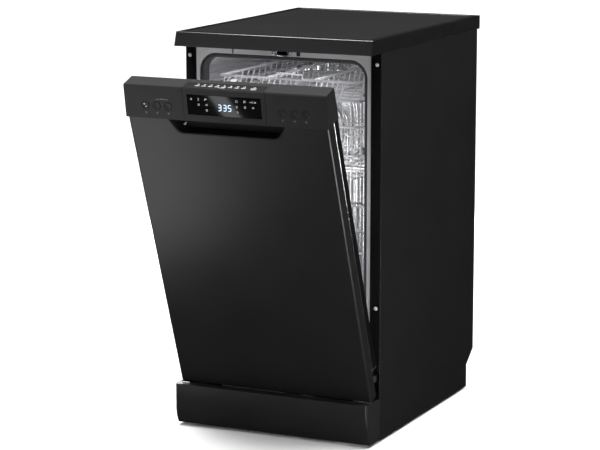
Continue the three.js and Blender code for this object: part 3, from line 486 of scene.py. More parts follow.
def add_lights():
    """Soft boxes round the machine, a broad light from above for the floor, and small ones in the tub."""
    sun = bpy.data.lights.new("above", "SUN")
    sun.energy = 4.0
    sun.angle = math.radians(50)
    above = bpy.data.objects.new("above", sun)
    bpy.context.scene.collection.objects.link(above)
    for lamp in LAMPS:
        add_lamp(*lamp)
    low, high = extent("tub_front_frame")
    x, y, middle = 0.02, low.y + 0.03, 0.44
    add_lamp("tub_front", (x, y, middle), (0, 0.4, middle), (0.06, 0.5), 0.8)
    add_lamp("tub_top", (x, y, high.z - 0.03), (0, 0.4, 0.70), (0.3, 0.02), 0.25)


# ---- case -----------------------------------------------------------------------------------
def add_worktop():
    """The board in its frame, which is mitred at the corners."""
    low, high = extent("worktop_trim")
    board, _ = extent("worktop_board")
    inset = board.x - low.x
    mitres = []
    for x in (low.x, high.x):
        out = math.copysign(1, x)
        mitres.append(((x - out * inset, board.y, 0), Vector((out, 1, 0)).normalized()))
        mitres.append(((x - out * inset, high.y - inset, 0), Vector((out, -1, 0)).normalized()))
    refined("worktop_trim", 1.5 * MM, seams=mitres, look=TRIM_LOOK)
    refined("worktop_board", 0.8 * MM)


def add_screw_caps():
    """Push-in caps over the screws that hold the front flanges."""
    profile = [(0, 1.5), (1.6, 1.45), (3.0, 1.2), (3.9, 0.6), (4.2, 0.1), (4.2, -0.4), (0, -0.4)]
    low, high = extent("side_panel_right")
    across, lower, upper = 214 * MM, 286 * MM, high.z - 23 * MM
    bm = bmesh.new()
    for x in (-across, across):
        for z in (upper, lower):
            lathe(bm, mm(profile), Matrix.Translation((x, low.y, z)) @ FACING_FRONT, 20)
    piece(bm, "screw_caps", "cabinet", "white_plastic", look=CAP)


def add_back():
    """The rear panel: a pressed sheet with a stiffening frame and two crossed ribs, and its screws."""
    low, high = extent("rear_panel")
    width, height = high.x - low.x, high.z - low.z
    middle = (low + high) / 2
    proud, frame_in, frame_wide, cross_wide, cross_from = 2.0, 0.16, 0.022, 0.016, 0.24

    def pressed(x, z):
        u, v = abs(x) / (width / 2), abs(z) / (height / 2)
        edge = min(1 - u, (1 - v) * height / width)
        diagonal = abs(abs(x) / width - abs(z) / height) * math.sqrt(2)
        cross = ridge(diagonal, cross_wide) if edge > cross_from else 0
        return -proud * (ridge(edge - frame_in, frame_wide) + cross) * MM

    bm = bmesh.new()
    turn = Matrix.Translation((0, low.y - 0.1 * MM + (high.y - low.y), middle.z))
    relief(bm, width, height, 150, 230, pressed, turn)
    bmesh.ops.solidify(bm, geom=bm.faces[:], thickness=0.8 * MM)
    made = piece(bm, "rear_panel.fine", "cabinet", "zinc_plate", smooth=60)
    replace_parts(made, "rear_panel")
    screws = bmesh.new()
    head = [(0, 1.6), (2.0, 1.5), (3.4, 1.0), (3.8, 0), (3.8, -0.6), (0, -0.6)]
    across, inset = 212 * MM, 30 * MM
    flange_rear = extent("side_panel_right")[1].y
    for x in (-across, across):
        for z in steps(low.z + inset, high.z - inset, 5):
            lathe(screws, mm(head), Matrix.Translation((x, flange_rear, z)) @ FACING_REAR, 16)
    piece(screws, "rear_screws", "cabinet", "zinc_plate")


def add_flange_strips():
    """Matt strips down the front flanges of the side panels."""
    low, high = extent("side_panel_right")
    inner, outer, bottom = 200.5 * MM, high.x - 0.4 * MM, 166 * MM
    strips = bmesh.new()
    for side in (-1, 1):
        x0, x1 = sorted((side * inner, side * outer))
        front, back, top = low.y - 0.25 * MM, low.y + 0.4 * MM, high.z - 0.2 * MM
        rounded_box(strips, (x0, front, bottom), (x1, back, top), 0.1 * MM)
    piece(strips, "flange_strips", "cabinet", "black_paint", look=MATT_BLACK)


def add_case():
    add_worktop()
    for side in ("right", "left"):
        refined(f"side_panel_{side}", 0.5 * MM)
    refined("plinth", 0.8 * MM)
    add_flange_strips()
    add_screw_caps()
    add_back()


# ---- door -----------------------------------------------------------------------------------
def stroke(bm, points, width=0.5, matrix=FACE, flat=0.35, closed=False):
    """A printed line on the fascia, in millimetres on its face, barely proud of it."""
    path = [Vector((x, 0, z)) * MM for x, z in points]
    section = [(a, b * flat) for a, b in circle(width * MM / 2, 6)]
    start = len(bm.verts)
    sweep(bm, path, section, closed, up=Y)
    bm.verts.ensure_lookup_table()
    bmesh.ops.transform(bm, matrix=matrix, verts=bm.verts[start:])


def loop(x, z, radius, sides=14, start=0.0, turn=360.0):
    """Points round a circle, or part of one."""
    angles = [math.radians(start + turn * k / sides) for k in range(sides if turn >= 360 else sides + 1)]
    return [(x + radius * math.cos(a), z + radius * math.sin(a)) for a in angles]


def symbol(bm, kind, x, z, size=2.2, width=0.45, matrix=FACE):
    """One small generic sign."""
    s = size
    draw = lambda points, closed=False: stroke(bm, points, width, matrix, closed=closed)
    if kind == "ring":
        draw(loop(x, z, s * 0.8), True)
    elif kind == "power":
        draw(loop(x, z, s * 0.9, 12, 120, 300))
        draw([(x, z + s * 0.1), (x, z + s * 1.1)])
    elif kind == "drop":
        bowl = loop(x, z - s * 0.2, s * 0.62, 8, 180, 180)
        draw([(x, z + s), (x - s * 0.6, z), *bowl, (x + s * 0.6, z)], True)
    elif kind == "clock":
        draw(loop(x, z, s * 0.9), True)
        draw([(x, z + s * 0.6), (x, z), (x + s * 0.5, z - s * 0.1)])
    elif kind == "bars":
        for k in (-1, 0, 1):
            draw([(x - s * 0.9, z + k * s * 0.65), (x + s * 0.9, z + k * s * 0.65)])
    elif kind == "half":
        draw(loop(x, z - s * 0.5, s * 0.9, 10, 0, 180), True)
        draw([(x, z - s * 0.5), (x, z + s)])
    elif kind == "glass":
        draw([(x - s * 0.7, z + s), (x - s * 0.4, z), (x + s * 0.4, z), (x + s * 0.7, z + s)])
        draw([(x, z), (x, z - s)])
        draw([(x - s * 0.5, z - s), (x + s * 0.5, z - s)])
    elif kind == "pot":
        rim, base = z + s * 0.5, z - s * 0.8
        draw([(x - s, rim), (x - s * 0.8, base), (x + s * 0.8, base), (x + s, rim)], True)
        draw([(x - s * 0.4, z + s), (x + s * 0.4, z + s)])
    elif kind == "leaf":
        draw([(x - s, z - s), *loop(x, z, s, 6, 200, -200)])
        draw([(x - s * 0.7, z - s * 0.7), (x + s * 0.5, z + s * 0.5)])
    elif kind == "plug":
        near, up, down = x - s * 0.2, z + s * 0.6, z - s * 0.6
        draw([(x - s, z), (near, z)])
        draw([(near, up), (x + s, up), (x + s, down), (near, down)], True)


def add_signs():
    """The printed signs on the window, under the buttons and over the two inner left ones."""
    bm = bmesh.new()
    left = [("drop", -72, 46), ("glass", -56, 46), ("bars", -56, 35), ("leaf", -40, 46), ("plug", -39, 35),
            ("ring", -39, 24)]
    right = [("pot", 28, 46), ("glass", 28, 35), ("drop", 29, 24), ("leaf", 46, 46), ("clock", 46, 35),
             ("plug", 62, 46), ("half", 64, 35)]
    for kind, x, z in left + right:
        symbol(bm, kind, x, z, 2.3, 0.62)
    stroke(bm, [(57, 46), (60, 46)], 0.8)
    stroke(bm, [(67, 46), (71, 46)], 1.6)
    piece(bm, "window_signs", "door", "white_plastic", look=PRINT)
    faint = bmesh.new()
    under = [("power", -177), ("bars", -151.5), ("half", -126), ("glass", 126), ("plug", 151.5),
             ("clock", 177)]
    for kind, x in under:
        z = 12 if x < 0 else 13
        symbol(faint, kind, x, z, 2.2, 0.5)
    bracket = [(-152, 38.5), (-151.2, 40.6), (-149.5, 41), (-128, 41), (-126.3, 40.6), (-125.5, 38.5)]
    stroke(faint, bracket, 0.45)
    stroke(faint, [(-138.8, 41), (-138.8, 43.4)], 0.8)
    piece(faint, "button_signs", "door", "white_plastic", look=DIM_PRINT)


SEGMENTS = {  # from one end to the other, in shares of the figure's width and height
    "a": (0, 1, 1, 1), "b": (1, 1, 1, 0.5), "c": (1, 0.5, 1, 0), "d": (0, 0, 1, 0), "e": (0, 0, 0, 0.5),
    "f": (0, 0.5, 0, 1), "g": (0, 0.5, 1, 0.5)}
DIGITS = {"3": "abcdg", "5": "acdfg"}


def add_digits():
    """Three lit seven-segment figures on the window: a time."""
    wide, tall, thick, slant, middle, gap = 6.2, 12.0, 1.2, 0.06, 31, 0.25
    bm = bmesh.new()
    for x, digit in ((-13.2, "3"), (-2.0, "3"), (8.6, "5")):
        for name in DIGITS[digit]:
            x0, z0, x1, z1 = SEGMENTS[name]
            ends = [Vector((x + a * wide, middle - tall / 2 + b * tall)) for a, b in ((x0, z0), (x1, z1))]
            along = (ends[1] - ends[0]).normalized()
            across = Vector((-along.y, along.x)) * thick / 2
            a, b = ends[0] + along * gap, ends[1] - along * gap
            tip = along * thick / 2
            outline = [a, a + tip + across, b - tip + across, b, b - tip - across, a + tip - across]
            leaning = mm((p.x + (p.y - middle) * slant, p.y) for p in outline)
            prism(bm, leaning, -0.12 * MM, 0.05 * MM, FACE)
    piece(bm, "lit_digits", "door", "white_plastic", look=DIGIT_LIGHT)


def add_programme_plate():
    """The list of programmes let into the fascia's top edge, with a row of signs and their rules."""
    _, fascia_high = extent("control_fascia", DOOR)
    top = fascia_high.z
    front, rear, half = WORKTOP_FRONT + 9 * MM, WORKTOP_FRONT + 28.5 * MM, 87 * MM
    bm = bmesh.new()
    rounded_box(bm, (-half, front, top - 0.8 * MM), (half, rear, top - 0.15 * MM), 0.3 * MM, 2, DOOR)
    piece(bm, "programme_plate", "door", "black_plastic", look=PLATE_LOOK, weighted=True)
    bed = bmesh.new()
    edge = 1 * MM
    low = (-half - edge, front - edge, top - 0.79 * MM)
    rounded_box(bed, low, (half + edge, rear + edge, top - 0.5 * MM), 0.1 * MM, 1, DOOR)
    piece(bed, "programme_plate_bed", "door", "black_plastic", look=MATT_BLACK)
    flat = DOOR @ Matrix.Translation((0, front, top - 0.1 * MM)) @ FACING_REAR
    signs = bmesh.new()
    kinds = ["pot", "glass", "leaf", "clock", "drop", "half", "bars", "ring"]
    first_x, pitch, sign_z, rule_z = -62, 14.6, 13.4, 8.0
    for k, kind in enumerate(kinds):
        x = first_x + k * pitch
        symbol(signs, kind, x, sign_z, 2.5, 0.8, flat)
        stroke(signs, [(x - 5.2, rule_z), (x + 4.4, rule_z)], 1.5, flat)
    symbol(signs, "plug", 62, sign_z, 2.4, 0.8, flat)
    for z in (4.6, 7.4, 10.0):
        stroke(signs, [(56, z), (68, z)], 0.9, flat)
    stroke(signs, [(-14, 4.6), (0, 4.6)], 1.1, flat)
    piece(signs, "programme_signs", "door", "white_plastic", look=PRINT)


def add_buttons():
    """Six dished push buttons, each in a fine dark ring."""
    radius = 8.2
    profile = [(0, 0.15), (3.0, 0.2), (6.0, 0.42), (7.2, 0.6), (7.9, 0.45), (radius, 0.1), (radius, -5.0),
               (0, -5.0)]
    ring = [(radius + 0.4, 0.08), (radius + 0.7, 0.16), (radius + 1.1, 0.1), (radius + 1.15, -0.1),
            (radius + 0.4, -0.1), (radius + 0.4, 0.08)]
    rings = bmesh.new()
    for k in range(1, 7):
        name = f"button_{k}"
        low, high = extent(name, FACE)
        middle = (low + high) / 2
        place = FACE @ Matrix.Translation((middle.x, 0, middle.z)) @ FACING_FRONT
        bm = bmesh.new()
        lathe(bm, mm(profile), place, 40)
        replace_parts(piece(bm, f"{name}.fine", name, "black_plastic", look=BUTTON_LOOK), name)
        lathe(rings, mm(ring), place, 40)
    bmesh.ops.remove_doubles(rings, verts=rings.verts, dist=TOUCH)
    piece(rings, "button_rings", "door", "dark_plastic")
    dots = bmesh.new()
    dot = [(0, 0.75), (1.0, 0.72), (1.3, 0.5), (1.3, 0), (0, 0)]
    for x, z in ((-179.5, 29.5), (-175.6, 24.6)):
        lathe(dots, mm(dot), FACE @ Matrix.Translation((x * MM, 0, z * MM)) @ FACING_FRONT, 14)
    piece(dots, "power_dots", "button_1", "white_plastic", look=PRINT)


def add_recess_mark():
    """A small moulded mark on the back of the handle recess."""
    low, high = extent("handle_recess", DOOR)
    place = DOOR @ Matrix.Translation((-109 * MM, high.y - 2.1 * MM, low.z + 8 * MM)) @ Matrix.Scale(1.3, 4)
    blade = [(-4.5, -2.5), (-2.0, -3.4), (1.2, -1.8), (2.6, 1.4), (4.2, 3.6), (0.4, 2.6), (-1.0, 0.4),
             (-3.2, 0.2)]
    mark = bmesh.new()
    prism(mark, mm(blade), -0.3 * MM, 0, place)
    piece(mark, "recess_mark", "door", "white_plastic", look=PRINT)


def add_door_side_covers():
    """Matt covers over the inner panel's side edges, and round their rear corners."""
    low, high = extent("door_inner_panel", DOOR)
    bottom, top = 168 * MM, 740 * MM
    outer, edge_inner, corner_inner = high.x + 0.35 * MM, high.x - 0.05 * MM, high.x - 4 * MM
    covers = bmesh.new()
    for side in (-1, 1):
        x0, x1 = sorted((side * edge_inner, side * outer))
        rear = WORKTOP_FRONT + 42.1 * MM
        rounded_box(covers, (x0, low.y + 0.3 * MM, bottom), (x1, rear, top), 0.1 * MM, 2, DOOR)
        x0, x1 = sorted((side * corner_inner, side * outer))
        front, rear = WORKTOP_FRONT + 41.9 * MM, WORKTOP_FRONT + 42.4 * MM
        rounded_box(covers, (x0, front, bottom), (x1, rear, top), 0.1 * MM, 2, DOOR)
    piece(covers, "door_side_covers", "door", "black_paint", look=MATT_BLACK)


def add_door():
    refined("door_outer_panel", 0.9 * MM)
    refined("handle_recess", 0.8 * MM)
    refined("door_inner_panel", 0.5 * MM)
    seam_x, seam_gap = 91 * MM, 0.7 * MM
    seams = [(FACE @ Vector((x, 0, 0)), X) for x in (-seam_x, seam_x)]
    refined("control_fascia", 0.7 * MM, seams=seams, gap=seam_gap)
    refined("display_window", 0.4 * MM)
    add_signs()
    add_digits()
    add_programme_plate()
    add_buttons()
    add_recess_mark()
    add_door_side_covers()
    for side in ("right", "left"):
        refined(f"hinge_arm_{side}", 0.3 * MM, look=DARK_STEEL)
    refined("door_latch", 0.2 * MM)
    add_dispenser()


def add_dispenser():
    """The detergent dispenser: its body, ribbed flap and slotted rinse aid cap."""
    refined("dispenser_housing", 1.2 * MM)
    refined("dispenser_flap", 0.5 * MM)
    refined("rinse_aid_cap", 0.5 * MM)
    low, high = extent("dispenser_flap", DOOR)
    ribs = bmesh.new()
    for k in range(5):
        x = low.x + (high.x - low.x) * (0.2 + 0.15 * k)
        rounded_box(ribs, (x - 0.8 * MM, high.y - 2.2 * MM, low.z + 10 * MM),
                    (x + 0.8 * MM, high.y - 1.4 * MM, high.z - 18 * MM), 0.3 * MM, 2, DOOR)
    piece(ribs, "flap_ribs", "dispenser_flap", "white_plastic")
    low, high = extent("dispenser_housing", DOOR)
    inset = 5 * MM
    x0, x1, z0, z1 = low.x + inset, high.x - inset, low.z + inset, high.z - inset
    corners = [(x0, high.y, z0), (x1, high.y, z0), (x1, high.y, z1), (x0, high.y, z1)]
    rim = bmesh.new()
    route = [DOOR @ p for p in rounded(corners, 8 * MM, 6, closed=True)]
    sweep(rim, route, circle(1.1 * MM, 8), closed=True, up=Y)
    piece(rim, "dispenser_rim", "door", "grey_plastic")


# ---- tub ------------------------------------------------------------------------------------
def mouth_route(inset, y, low_z):
    """The inverted U round the door opening."""
    _, high = extent("door_gasket")
    x, top, corner = high.x - inset, high.z - inset, 38 * MM - inset
    return rounded([(-x, y, low_z), (-x, y, top), (x, y, top), (x, y, low_z)], corner, 10)


def add_gasket():
    """A hollow seal with a lip, held in the mouth's channel."""
    low, high = extent("door_gasket")
    bm = bmesh.new()
    middle = (low.y + high.y) / 2
    section = [(-4.4, 9.0), (4.4, 9.0), (4.6, 2.0), (3.2, -1.0), (4.4, -5.0), (2.0, -8.6), (-2.4, -9.2),
               (-4.4, -6.0)]
    sweep(bm, mouth_route(4.9 * MM, middle, low.z), mm(section), up=Y)
    made = piece(bm, "door_gasket.fine", "cabinet", "seal_rubber", smooth=50)
    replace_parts(made, "door_gasket")


def back_pressing(x, z):
    """Long S-shaped lines pressed into the back wall, in steps from the middle to the right, and mirrored."""
    proud, wide, line_end = 3.6 * MM, 4.5 * MM, 0.30
    side = abs(x)
    height = 0.0
    for k in range(5):
        line = 0.055 + 0.024 * k + 0.016 * math.tanh((z - 0.21 + 0.03 * k) / 0.018)
        height = max(height, ridge(side - line, wide) * (1 if abs(z) < line_end else 0))
    frame_line = max(side - 0.168, abs(z) - 0.308)
    return max(height, ridge(frame_line, 4.0 * MM)) * proud


def side_pressing(x, z):
    """Pairs of level ribs along a side wall."""
    proud, wide, apart, rib_end = 2.0 * MM, 5 * MM, 0.035, 0.19
    height = 0.0
    for level in (-0.16, -0.02, 0.12):
        if abs(x) < rib_end:
            height = max(height, ridge(z - level, wide), ridge(z - level - apart, wide))
    return height * proud


def add_frame_fittings():
    """Two small plastic stops on the front frame's top bar, and the wire loop that the latch catches."""
    face = extent("tub_front_frame")[0].y
    stops = bmesh.new()
    back = face + 1 * MM
    rounded_box(stops, (-115.5 * MM, face - 0.3 * MM, 799 * MM), (-112.5 * MM, back, 812 * MM), 0.3 * MM)
    rounded_box(stops, (33 * MM, face - 2.1 * MM, 800.5 * MM), (41 * MM, back, 809 * MM), 1.0 * MM, 3)
    piece(stops, "frame_stops", "cabinet", "dark_plastic")
    striker = bmesh.new()
    y = face / MM - 0.9
    wire(striker, [(-15, y, 799.5), (15, y, 799.5), (15, y, 809.5), (-15, y, 809.5)], 2.0, 4, closed=True)
    for x in (-19, 19):
        low, high = ((x - 4) * MM, face - 1.6 * MM, 801 * MM), ((x + 4) * MM, face + 0.4 * MM, 808 * MM)
        rounded_box(striker, low, high, 0.6 * MM)
    piece(striker, "latch_striker", "cabinet", "stainless")


def add_tub():
    refined("tub_front_frame", 0.5 * MM, look=FRAME_STEEL)
    refined("tub_floor", 0.5 * MM)
    refined("tub_wrap", 0.4 * MM)
    add_gasket()
    low, high = extent("tub_wrap")
    middle = (low + high) / 2
    inner = 181.6 * MM
    back = bmesh.new()
    place = Matrix.Translation((0, extent("tub_back_wall")[0].y - 0.8 * MM, middle.z))
    relief(back, 2 * inner - 6 * MM, high.z - low.z - 8 * MM, 220, 340, back_pressing, place)
    piece(back, "back_pressing", "cabinet", "stainless", smooth=60, look=STEEL_UP)
    length, tall, wall_z = high.y - low.y - 20 * MM, 500 * MM, 455 * MM
    for side in (-1, 1):
        wall = bmesh.new()
        place = Matrix.Translation((side * (inner - 0.1 * MM), middle.y, wall_z))
        turn = Matrix.Rotation(-side * QUARTER, 4, "Z")
        relief(wall, length, tall, 60, 260, side_pressing, place @ turn)
        piece(wall, f"side_pressing_{side_name(side)}", "cabinet", "stainless", smooth=60)
    add_frame_fittings()


# ---- racks ----------------------------------------------------------------------------------
def wire(bm, points, thick, bend=8.0, closed=False):
    """A round wire through points in the row frame, bent at the corners, all in millimetres."""
    route = mm(points)
    if len(points) > 2:
        route = rounded(route, bend * MM, 4, closed)
    sweep(bm, route, circle(thick * MM / 2, 8), closed)


def basket(bm, low, high, front_rim, across, along, thick=3.2):
    """The wires of a basket: two crossed sets of U-shaped wires, a rim and a mid rail."""
    x0, y0, z0 = low
    x1, y1, z1 = high
    inset, bend, corner = 14, 12, 14
    slope = 90  # the rim rises over this length from its front to its full height
    for x in steps(x0 + inset, x1 - inset, across):
        wire(bm, [(x, y0, front_rim), (x, y0, z0), (x, y1, z0), (x, y1, z1)], thick * 0.8, bend)
    floor_z = z0 + 2.6
    for y in steps(y0 + inset, y1 - inset, along):
        rim_z = z1 + (front_rim - z1) * max(0, 1 - (y - y0) / slope)
        wire(bm, [(x0, y, rim_z), (x0, y, floor_z), (x1, y, floor_z), (x1, y, rim_z)], thick * 0.8, bend)
    rim = [(x0, y0, front_rim), (x1, y0, front_rim), (x1, y0 + slope, z1), (x1, y1, z1), (x0, y1, z1),
           (x0, y0 + slope, z1)]
    wire(bm, rim, thick * 1.5, corner, closed=True)
    middle = z0 + (z1 - z0) * 0.45
    rail = [(x0, y0, middle), (x1, y0, middle), (x1, y1, middle), (x0, y1, middle)]
    wire(bm, rail, thick, corner, closed=True)


def tines(bm, xs, ys, z, tall, lean, thick=2.6):
    """Rows of upright pins, each bent over a little, on a base wire."""
    for x in xs:
        wire(bm, [(x, ys[0] - 8, z), (x, ys[-1] + 8, z)], thick)
        for y in ys:
            wire(bm, [(x, y, z), (x + lean * 0.2, y, z + tall * 0.5), (x + lean, y, z + tall)], thick, 4)


def add_lower_rack():
    low, high = (c / MM for c in extent("lower_rack"))
    half = 160
    bm = bmesh.new()
    basket(bm, (-half, low.y + 2, low.z + 3), (half, high.y - 2, 400), high.z - 3, 9, 11, 3.8)
    ys = steps(low.y + 46, high.y - 60, 12)
    tines(bm, (-118, -62), ys, low.z + 8, 92, 12, 3.2)
    tines(bm, (20, 78, 132), ys[:8], low.z + 8, 82, -10, 3.2)
    y, foot, top = low.y + 3, high.z - 30, high.z + 34
    for x0, x1 in ((-150, -84), (84, 150)):
        wire(bm, [(x0, y, foot), (x0, y, top), (x1, y, top), (x1, y, foot)], 5.4, 20)
    for side in (-1, 1):
        for row in ("front", "rear"):
            middle = sum(extent(f"rack_wheel_{row}_{side_name(side)}"), Vector()) / 2 / MM
            wire(bm, [(side * 156, middle.y, middle.z), (side * 181, middle.y, middle.z)], 5.6)
    made = piece(bm, "lower_rack.fine", "lower_rack", "rack_wire")
    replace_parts(made, "lower_rack")


def add_upper_rack():
    """The upper basket with its cup shelves, its rails and the rollers that run in them."""
    low, high = (c / MM for c in extent("upper_rack"))
    half, top = 158, high.z - 2.4
    bm = bmesh.new()
    basket(bm, (-half, low.y + 2, low.z + 2), (half, high.y - 2, top), top, 9, 11, 3.6)
    ys = steps(low.y + 40, high.y - 40, 11)
    tines(bm, (-70, 0, 70), ys, low.z + 7, 56, 9, 3.0)
    for side in (-1, 1):
        for y in steps(low.y + 60, high.y - 60, 8):
            wire(bm, [(side * 156, y, 632), (side * 112, y, 626), (side * 100, y, 634)], 2.4, 4)
        for x, z in ((150, 631), (122, 627), (101, 633)):
            wire(bm, [(side * x, low.y + 50, z), (side * x, high.y - 50, z)], 2.8)
    made = piece(bm, "upper_rack.fine", "upper_rack", "rack_wire")
    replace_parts(made, "upper_rack")
    for side in ("right", "left"):
        refined(f"upper_rail_{side}", 0.4 * MM)
    rollers = bmesh.new()
    roller = [(0, 0), (8, 0), (9, 1), (8, 2.5), (9, 4), (8, 5), (0, 5)]
    for side in (-1, 1):
        turn = Matrix.Rotation(side * QUARTER, 4, "Y")
        for y in (low.y + 60, high.y - 60):
            lathe(rollers, mm(roller), Matrix.Translation((side * 161.5 * MM, y * MM, 608 * MM)) @ turn, 24)
    piece(rollers, "rail_rollers", "upper_rack", "grey_plastic")


def tray_wall(bm, wall_low, wall_high, along_x):
    """A thin wall of two rails with slanted wires between them."""
    rail, wire_lean, wire_thick = 5 * MM, 20, 2.6
    (x0, y0, z0), (x1, y1, z1) = wall_low, wall_high
    for low_z, high_z in ((z0, z0 + rail), (z1 - rail, z1)):
        rounded_box(bm, (x0, y0, low_z), (x1, y1, high_z), 0.7 * MM)
    foot, head = z0 / MM + 3, z1 / MM - 3
    if along_x:
        y = (y0 + y1) / 2 / MM
        for x in steps(x0 / MM + 3, x1 / MM - 25, 11):
            wire(bm, [(x, y, foot), (x + wire_lean, y, head)], wire_thick)
    else:
        x = (x0 + x1) / 2 / MM
        for y in steps(y0 / MM + 3, y1 / MM - 25, 15):
            wire(bm, [(x, y, foot), (x, y + wire_lean, head)], wire_thick)


def slanted_slats(bm, x0, x1, y0, y1, floor_z):
    """One row of slats, slanted from y0 to y1 and cut off at the bay's sides."""
    slat, pitch, lean, thick, shortest = 3.0 * MM, 9.0 * MM, 16 * MM, 2.4 * MM, 0.15
    for k in range(-2, int((x1 - x0 + lean) / pitch) + 1):
        start = x0 + k * pitch
        t0 = max(0.0, (x0 - start) / lean)
        t1 = min(1.0, (x1 - slat - start) / lean)
        if t1 - t0 < shortest:
            continue
        (xa, ya), (xb, yb) = ((start + lean * t, y0 + (y1 - y0) * t) for t in (t0, t1))
        outline = [(xa, -ya), (xa + slat, -ya), (xb + slat, -yb), (xb, -yb)]
        prism(bm, outline, floor_z, floor_z + thick, FACING_FRONT)


def add_cutlery_tray():
    """Thin walls round three bays, whose floors are rows of slanted slats."""
    low, high = extent("cutlery_tray")
    half, wall, divider = 162 * MM, 2.4 * MM, 55 * MM
    bm = bmesh.new()
    for x in (-half, half - wall, -divider - wall / 2, divider - wall / 2):
        tray_wall(bm, (x, low.y, low.z), (x + wall, high.y, high.z), along_x=False)
    for y in (low.y, high.y - wall):
        tray_wall(bm, (-half, y, low.z), (half, y + wall, high.z), along_x=True)
    runner_in, runner_out, runner_low, runner_high = half - 1 * MM, 178 * MM, 727.5 * MM, 730 * MM
    for side in (-1, 1):
        x0, x1 = sorted((side * runner_in, side * runner_out))
        rounded_box(bm, (x0, low.y, runner_low), (x1, high.y, runner_high), 0.7 * MM)
    bays = [(-half + wall, -divider - wall / 2), (-divider + wall / 2, divider - wall / 2),
            (divider + wall / 2, half - wall)]
    rows = steps(low.y + wall, high.y - wall, 10)
    rib, rib_tall = 1.6 * MM, 3 * MM
    for x0, x1 in bays:
        for y0, y1 in zip(rows, rows[1:]):
            rounded_box(bm, (x0, y1 - rib, low.z), (x1, y1 + rib, low.z + rib_tall), 0.6 * MM)
            slanted_slats(bm, x0, x1, y0, y1, low.z)
    handle, handle_low, handle_high = 30, 748, 758
    for y in (low.y / MM, high.y / MM):
        wire(bm, [(-handle, y, handle_low), (-handle, y, handle_high), (handle, y, handle_high),
                  (handle, y, handle_low)], 4, 4)
    made = piece(bm, "cutlery_tray.fine", "cutlery_tray", "grey_plastic")
    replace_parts(made, "cutlery_tray")


# ---- spray arms and the floor's fittings ----------------------------------------------------
def add_spray_arm(node):
    """A hollow moulded arm: crowned blades, a stepped hub and a row of raised jets."""
    low, high = extent(node)
    centre = (low + high) / 2
    reach, half_width, tall = (high.x - low.x) / 2, (high.y - low.y) / 2, high.z - low.z
    blade = 0.62 * tall
    middle_z = low.z + blade / 2
    stations, sides = 36, 20
    round_y, round_z = 0.8, 0.65  # below 1 a section is squarer than an ellipse
    bm = bmesh.new()
    rings = []
    for t in steps(-1, 1, stations):
        along = math.sin(t * math.pi / 2)
        x = reach * along
        tip = math.sqrt(max(0.0, 1 - abs(along) ** 9))
        width = half_width * (0.74 + 0.26 * math.cos(x / reach * math.pi / 2)) * tip + 0.02 * MM
        thick = blade / 2 * (0.35 + 0.65 * tip)
        ring = []
        for c, d in circle(1, sides):
            y = centre.y + width * math.copysign(abs(c) ** round_y, c)
            z = middle_z + thick * math.copysign(abs(d) ** round_z, d)
            ring.append(bm.verts.new((centre.x + x, y, z)))
        rings.append(ring)
    ring_faces(bm, rings)
    bm.faces.new(rings[0])
    bm.faces.new(reversed(rings[-1]))
    hub = half_width * 0.84
    profile = [(0, 0), (hub, 0), (hub, tall * 0.5), (hub * 0.94, tall * 0.66), (hub * 0.7, tall * 0.7),
               (hub * 0.66, tall * 0.97), (hub * 0.6, tall), (0, tall)]
    lathe(bm, profile, Matrix.Translation((centre.x, centre.y, low.z)), 40)
    jet = [(3.6, 0), (3.2, 1.2), (2.0, 1.5), (1.4, 1.1), (1.3, -0.6), (0, -0.6)]
    jets = bmesh.new()
    for side in (-1, 1):
        for k in range(5):
            x = side * (0.24 + 0.16 * k) * reach
            y = side * half_width * (0.28 if k % 2 else -0.22)
            place = Matrix.Translation((centre.x + x, centre.y + y, low.z + blade * 0.9))
            lathe(jets, mm(jet), place, 14)
    made = piece(bm, f"{node}.fine", node, "grey_plastic", smooth=50)
    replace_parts(made, node)
    piece(jets, f"{node}.jets", node, "grey_plastic")


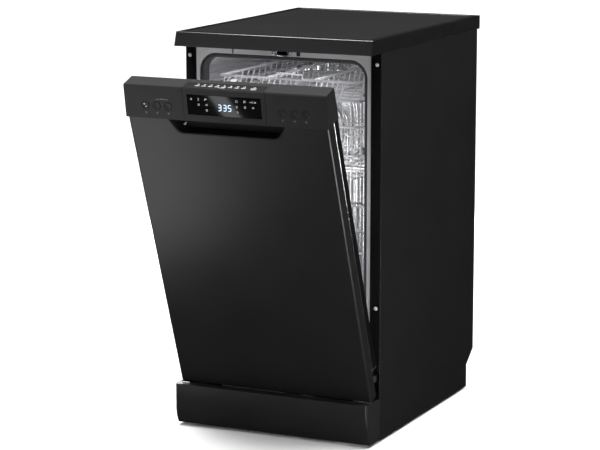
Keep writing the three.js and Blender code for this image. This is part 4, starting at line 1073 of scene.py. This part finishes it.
def add_springs():
    """The door's balance springs: an eye behind the arm's stud, a pull rod, a wound coil and a tail."""
    eye_radius, coil_radius, turns, sides = 4.4 * MM, 5.2 * MM, 34, 14
    eye_wire, rod_wire, coil_wire = 1.0 * MM, 1.4 * MM, 1.2 * MM
    eye_y = WORKTOP_FRONT + 39.5 * MM  # the stud passes in front of the eye as the door shuts
    for side in ("right", "left"):
        node = f"door_spring_{side}"
        low, high = extent(node)
        x, z = (low.x + high.x) / 2, (low.z + high.z) / 2
        coil_start, coil_end = low.y + 109 * MM, high.y - 40 * MM
        bm = bmesh.new()
        eye = [(x, eye_y + a, z + b) for a, b in circle(eye_radius, 20)]
        sweep(bm, eye, circle(eye_wire, 8), closed=True, up=X)
        rod = [(x, y, z) for y in steps(eye_y + eye_radius, coil_start, 30)]
        sweep(bm, rod, circle(rod_wire, 8))
        coil = []
        for k, y in enumerate(steps(coil_start, coil_end, turns * sides)):
            turn = 2 * math.pi * k / sides
            coil.append((x + coil_radius * math.cos(turn), y, z + coil_radius * math.sin(turn)))
        sweep(bm, coil, circle(coil_wire, 6))
        sweep(bm, [(x, coil_end - 1 * MM, z), (x, high.y, z)], circle(rod_wire, 8))
        end = Vector((6.2, 1.2, 1.6)) * MM
        for y in (coil_start, coil_end):
            rounded_box(bm, Vector((x, y, z)) - end, Vector((x, y, z)) + end, 0.6 * MM)
        made = piece(bm, f"{node}.fine", "cabinet", "zinc_plate")
        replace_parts(made, node)


EDGE_WIDTHS = {  # millimetres
    "filter_plate": 0.4, "filter_cylinder": 0.5, "salt_cap": 0.8, "sump_housing": 0.6, "water_feed_pipe": 1.5,
    "upper_arm_manifold": 1.5, "circulation_pump": 1.0, "drain_pump": 1.0, "water_softener": 2.0,
    "inlet_valve": 0.8, "base_tray": 0.8, "control_board": 0.3}


def add_fittings():
    for node, width in EDGE_WIDTHS.items():
        refined(node, width * MM)
    for side in ("right", "left"):
        refined(f"hinge_bracket_{side}", 0.3 * MM, look=DARK_STEEL)
    for row in ("front", "rear"):
        for side in ("right", "left"):
            refined(f"foot_{row}_{side}", 0.8 * MM)
            refined(f"rack_wheel_{row}_{side}", 0.6 * MM)


def dress_frame():
    """The frame's own nodes that still show get their slot's finish."""
    for node in NODES.values():
        if not node.hide_render:
            node.data.materials[0] = LOOKS[node.data.materials[0].name.split(".")[0]]


add_camera()
add_room()
add_lights()
add_case()
add_door()
add_tub()
add_lower_rack()
add_upper_rack()
add_cutlery_tray()
for arm in ("lower_spray_arm", "upper_spray_arm", "top_spray_arm"):
    add_spray_arm(arm)
add_springs()
add_fittings()
dress_frame()
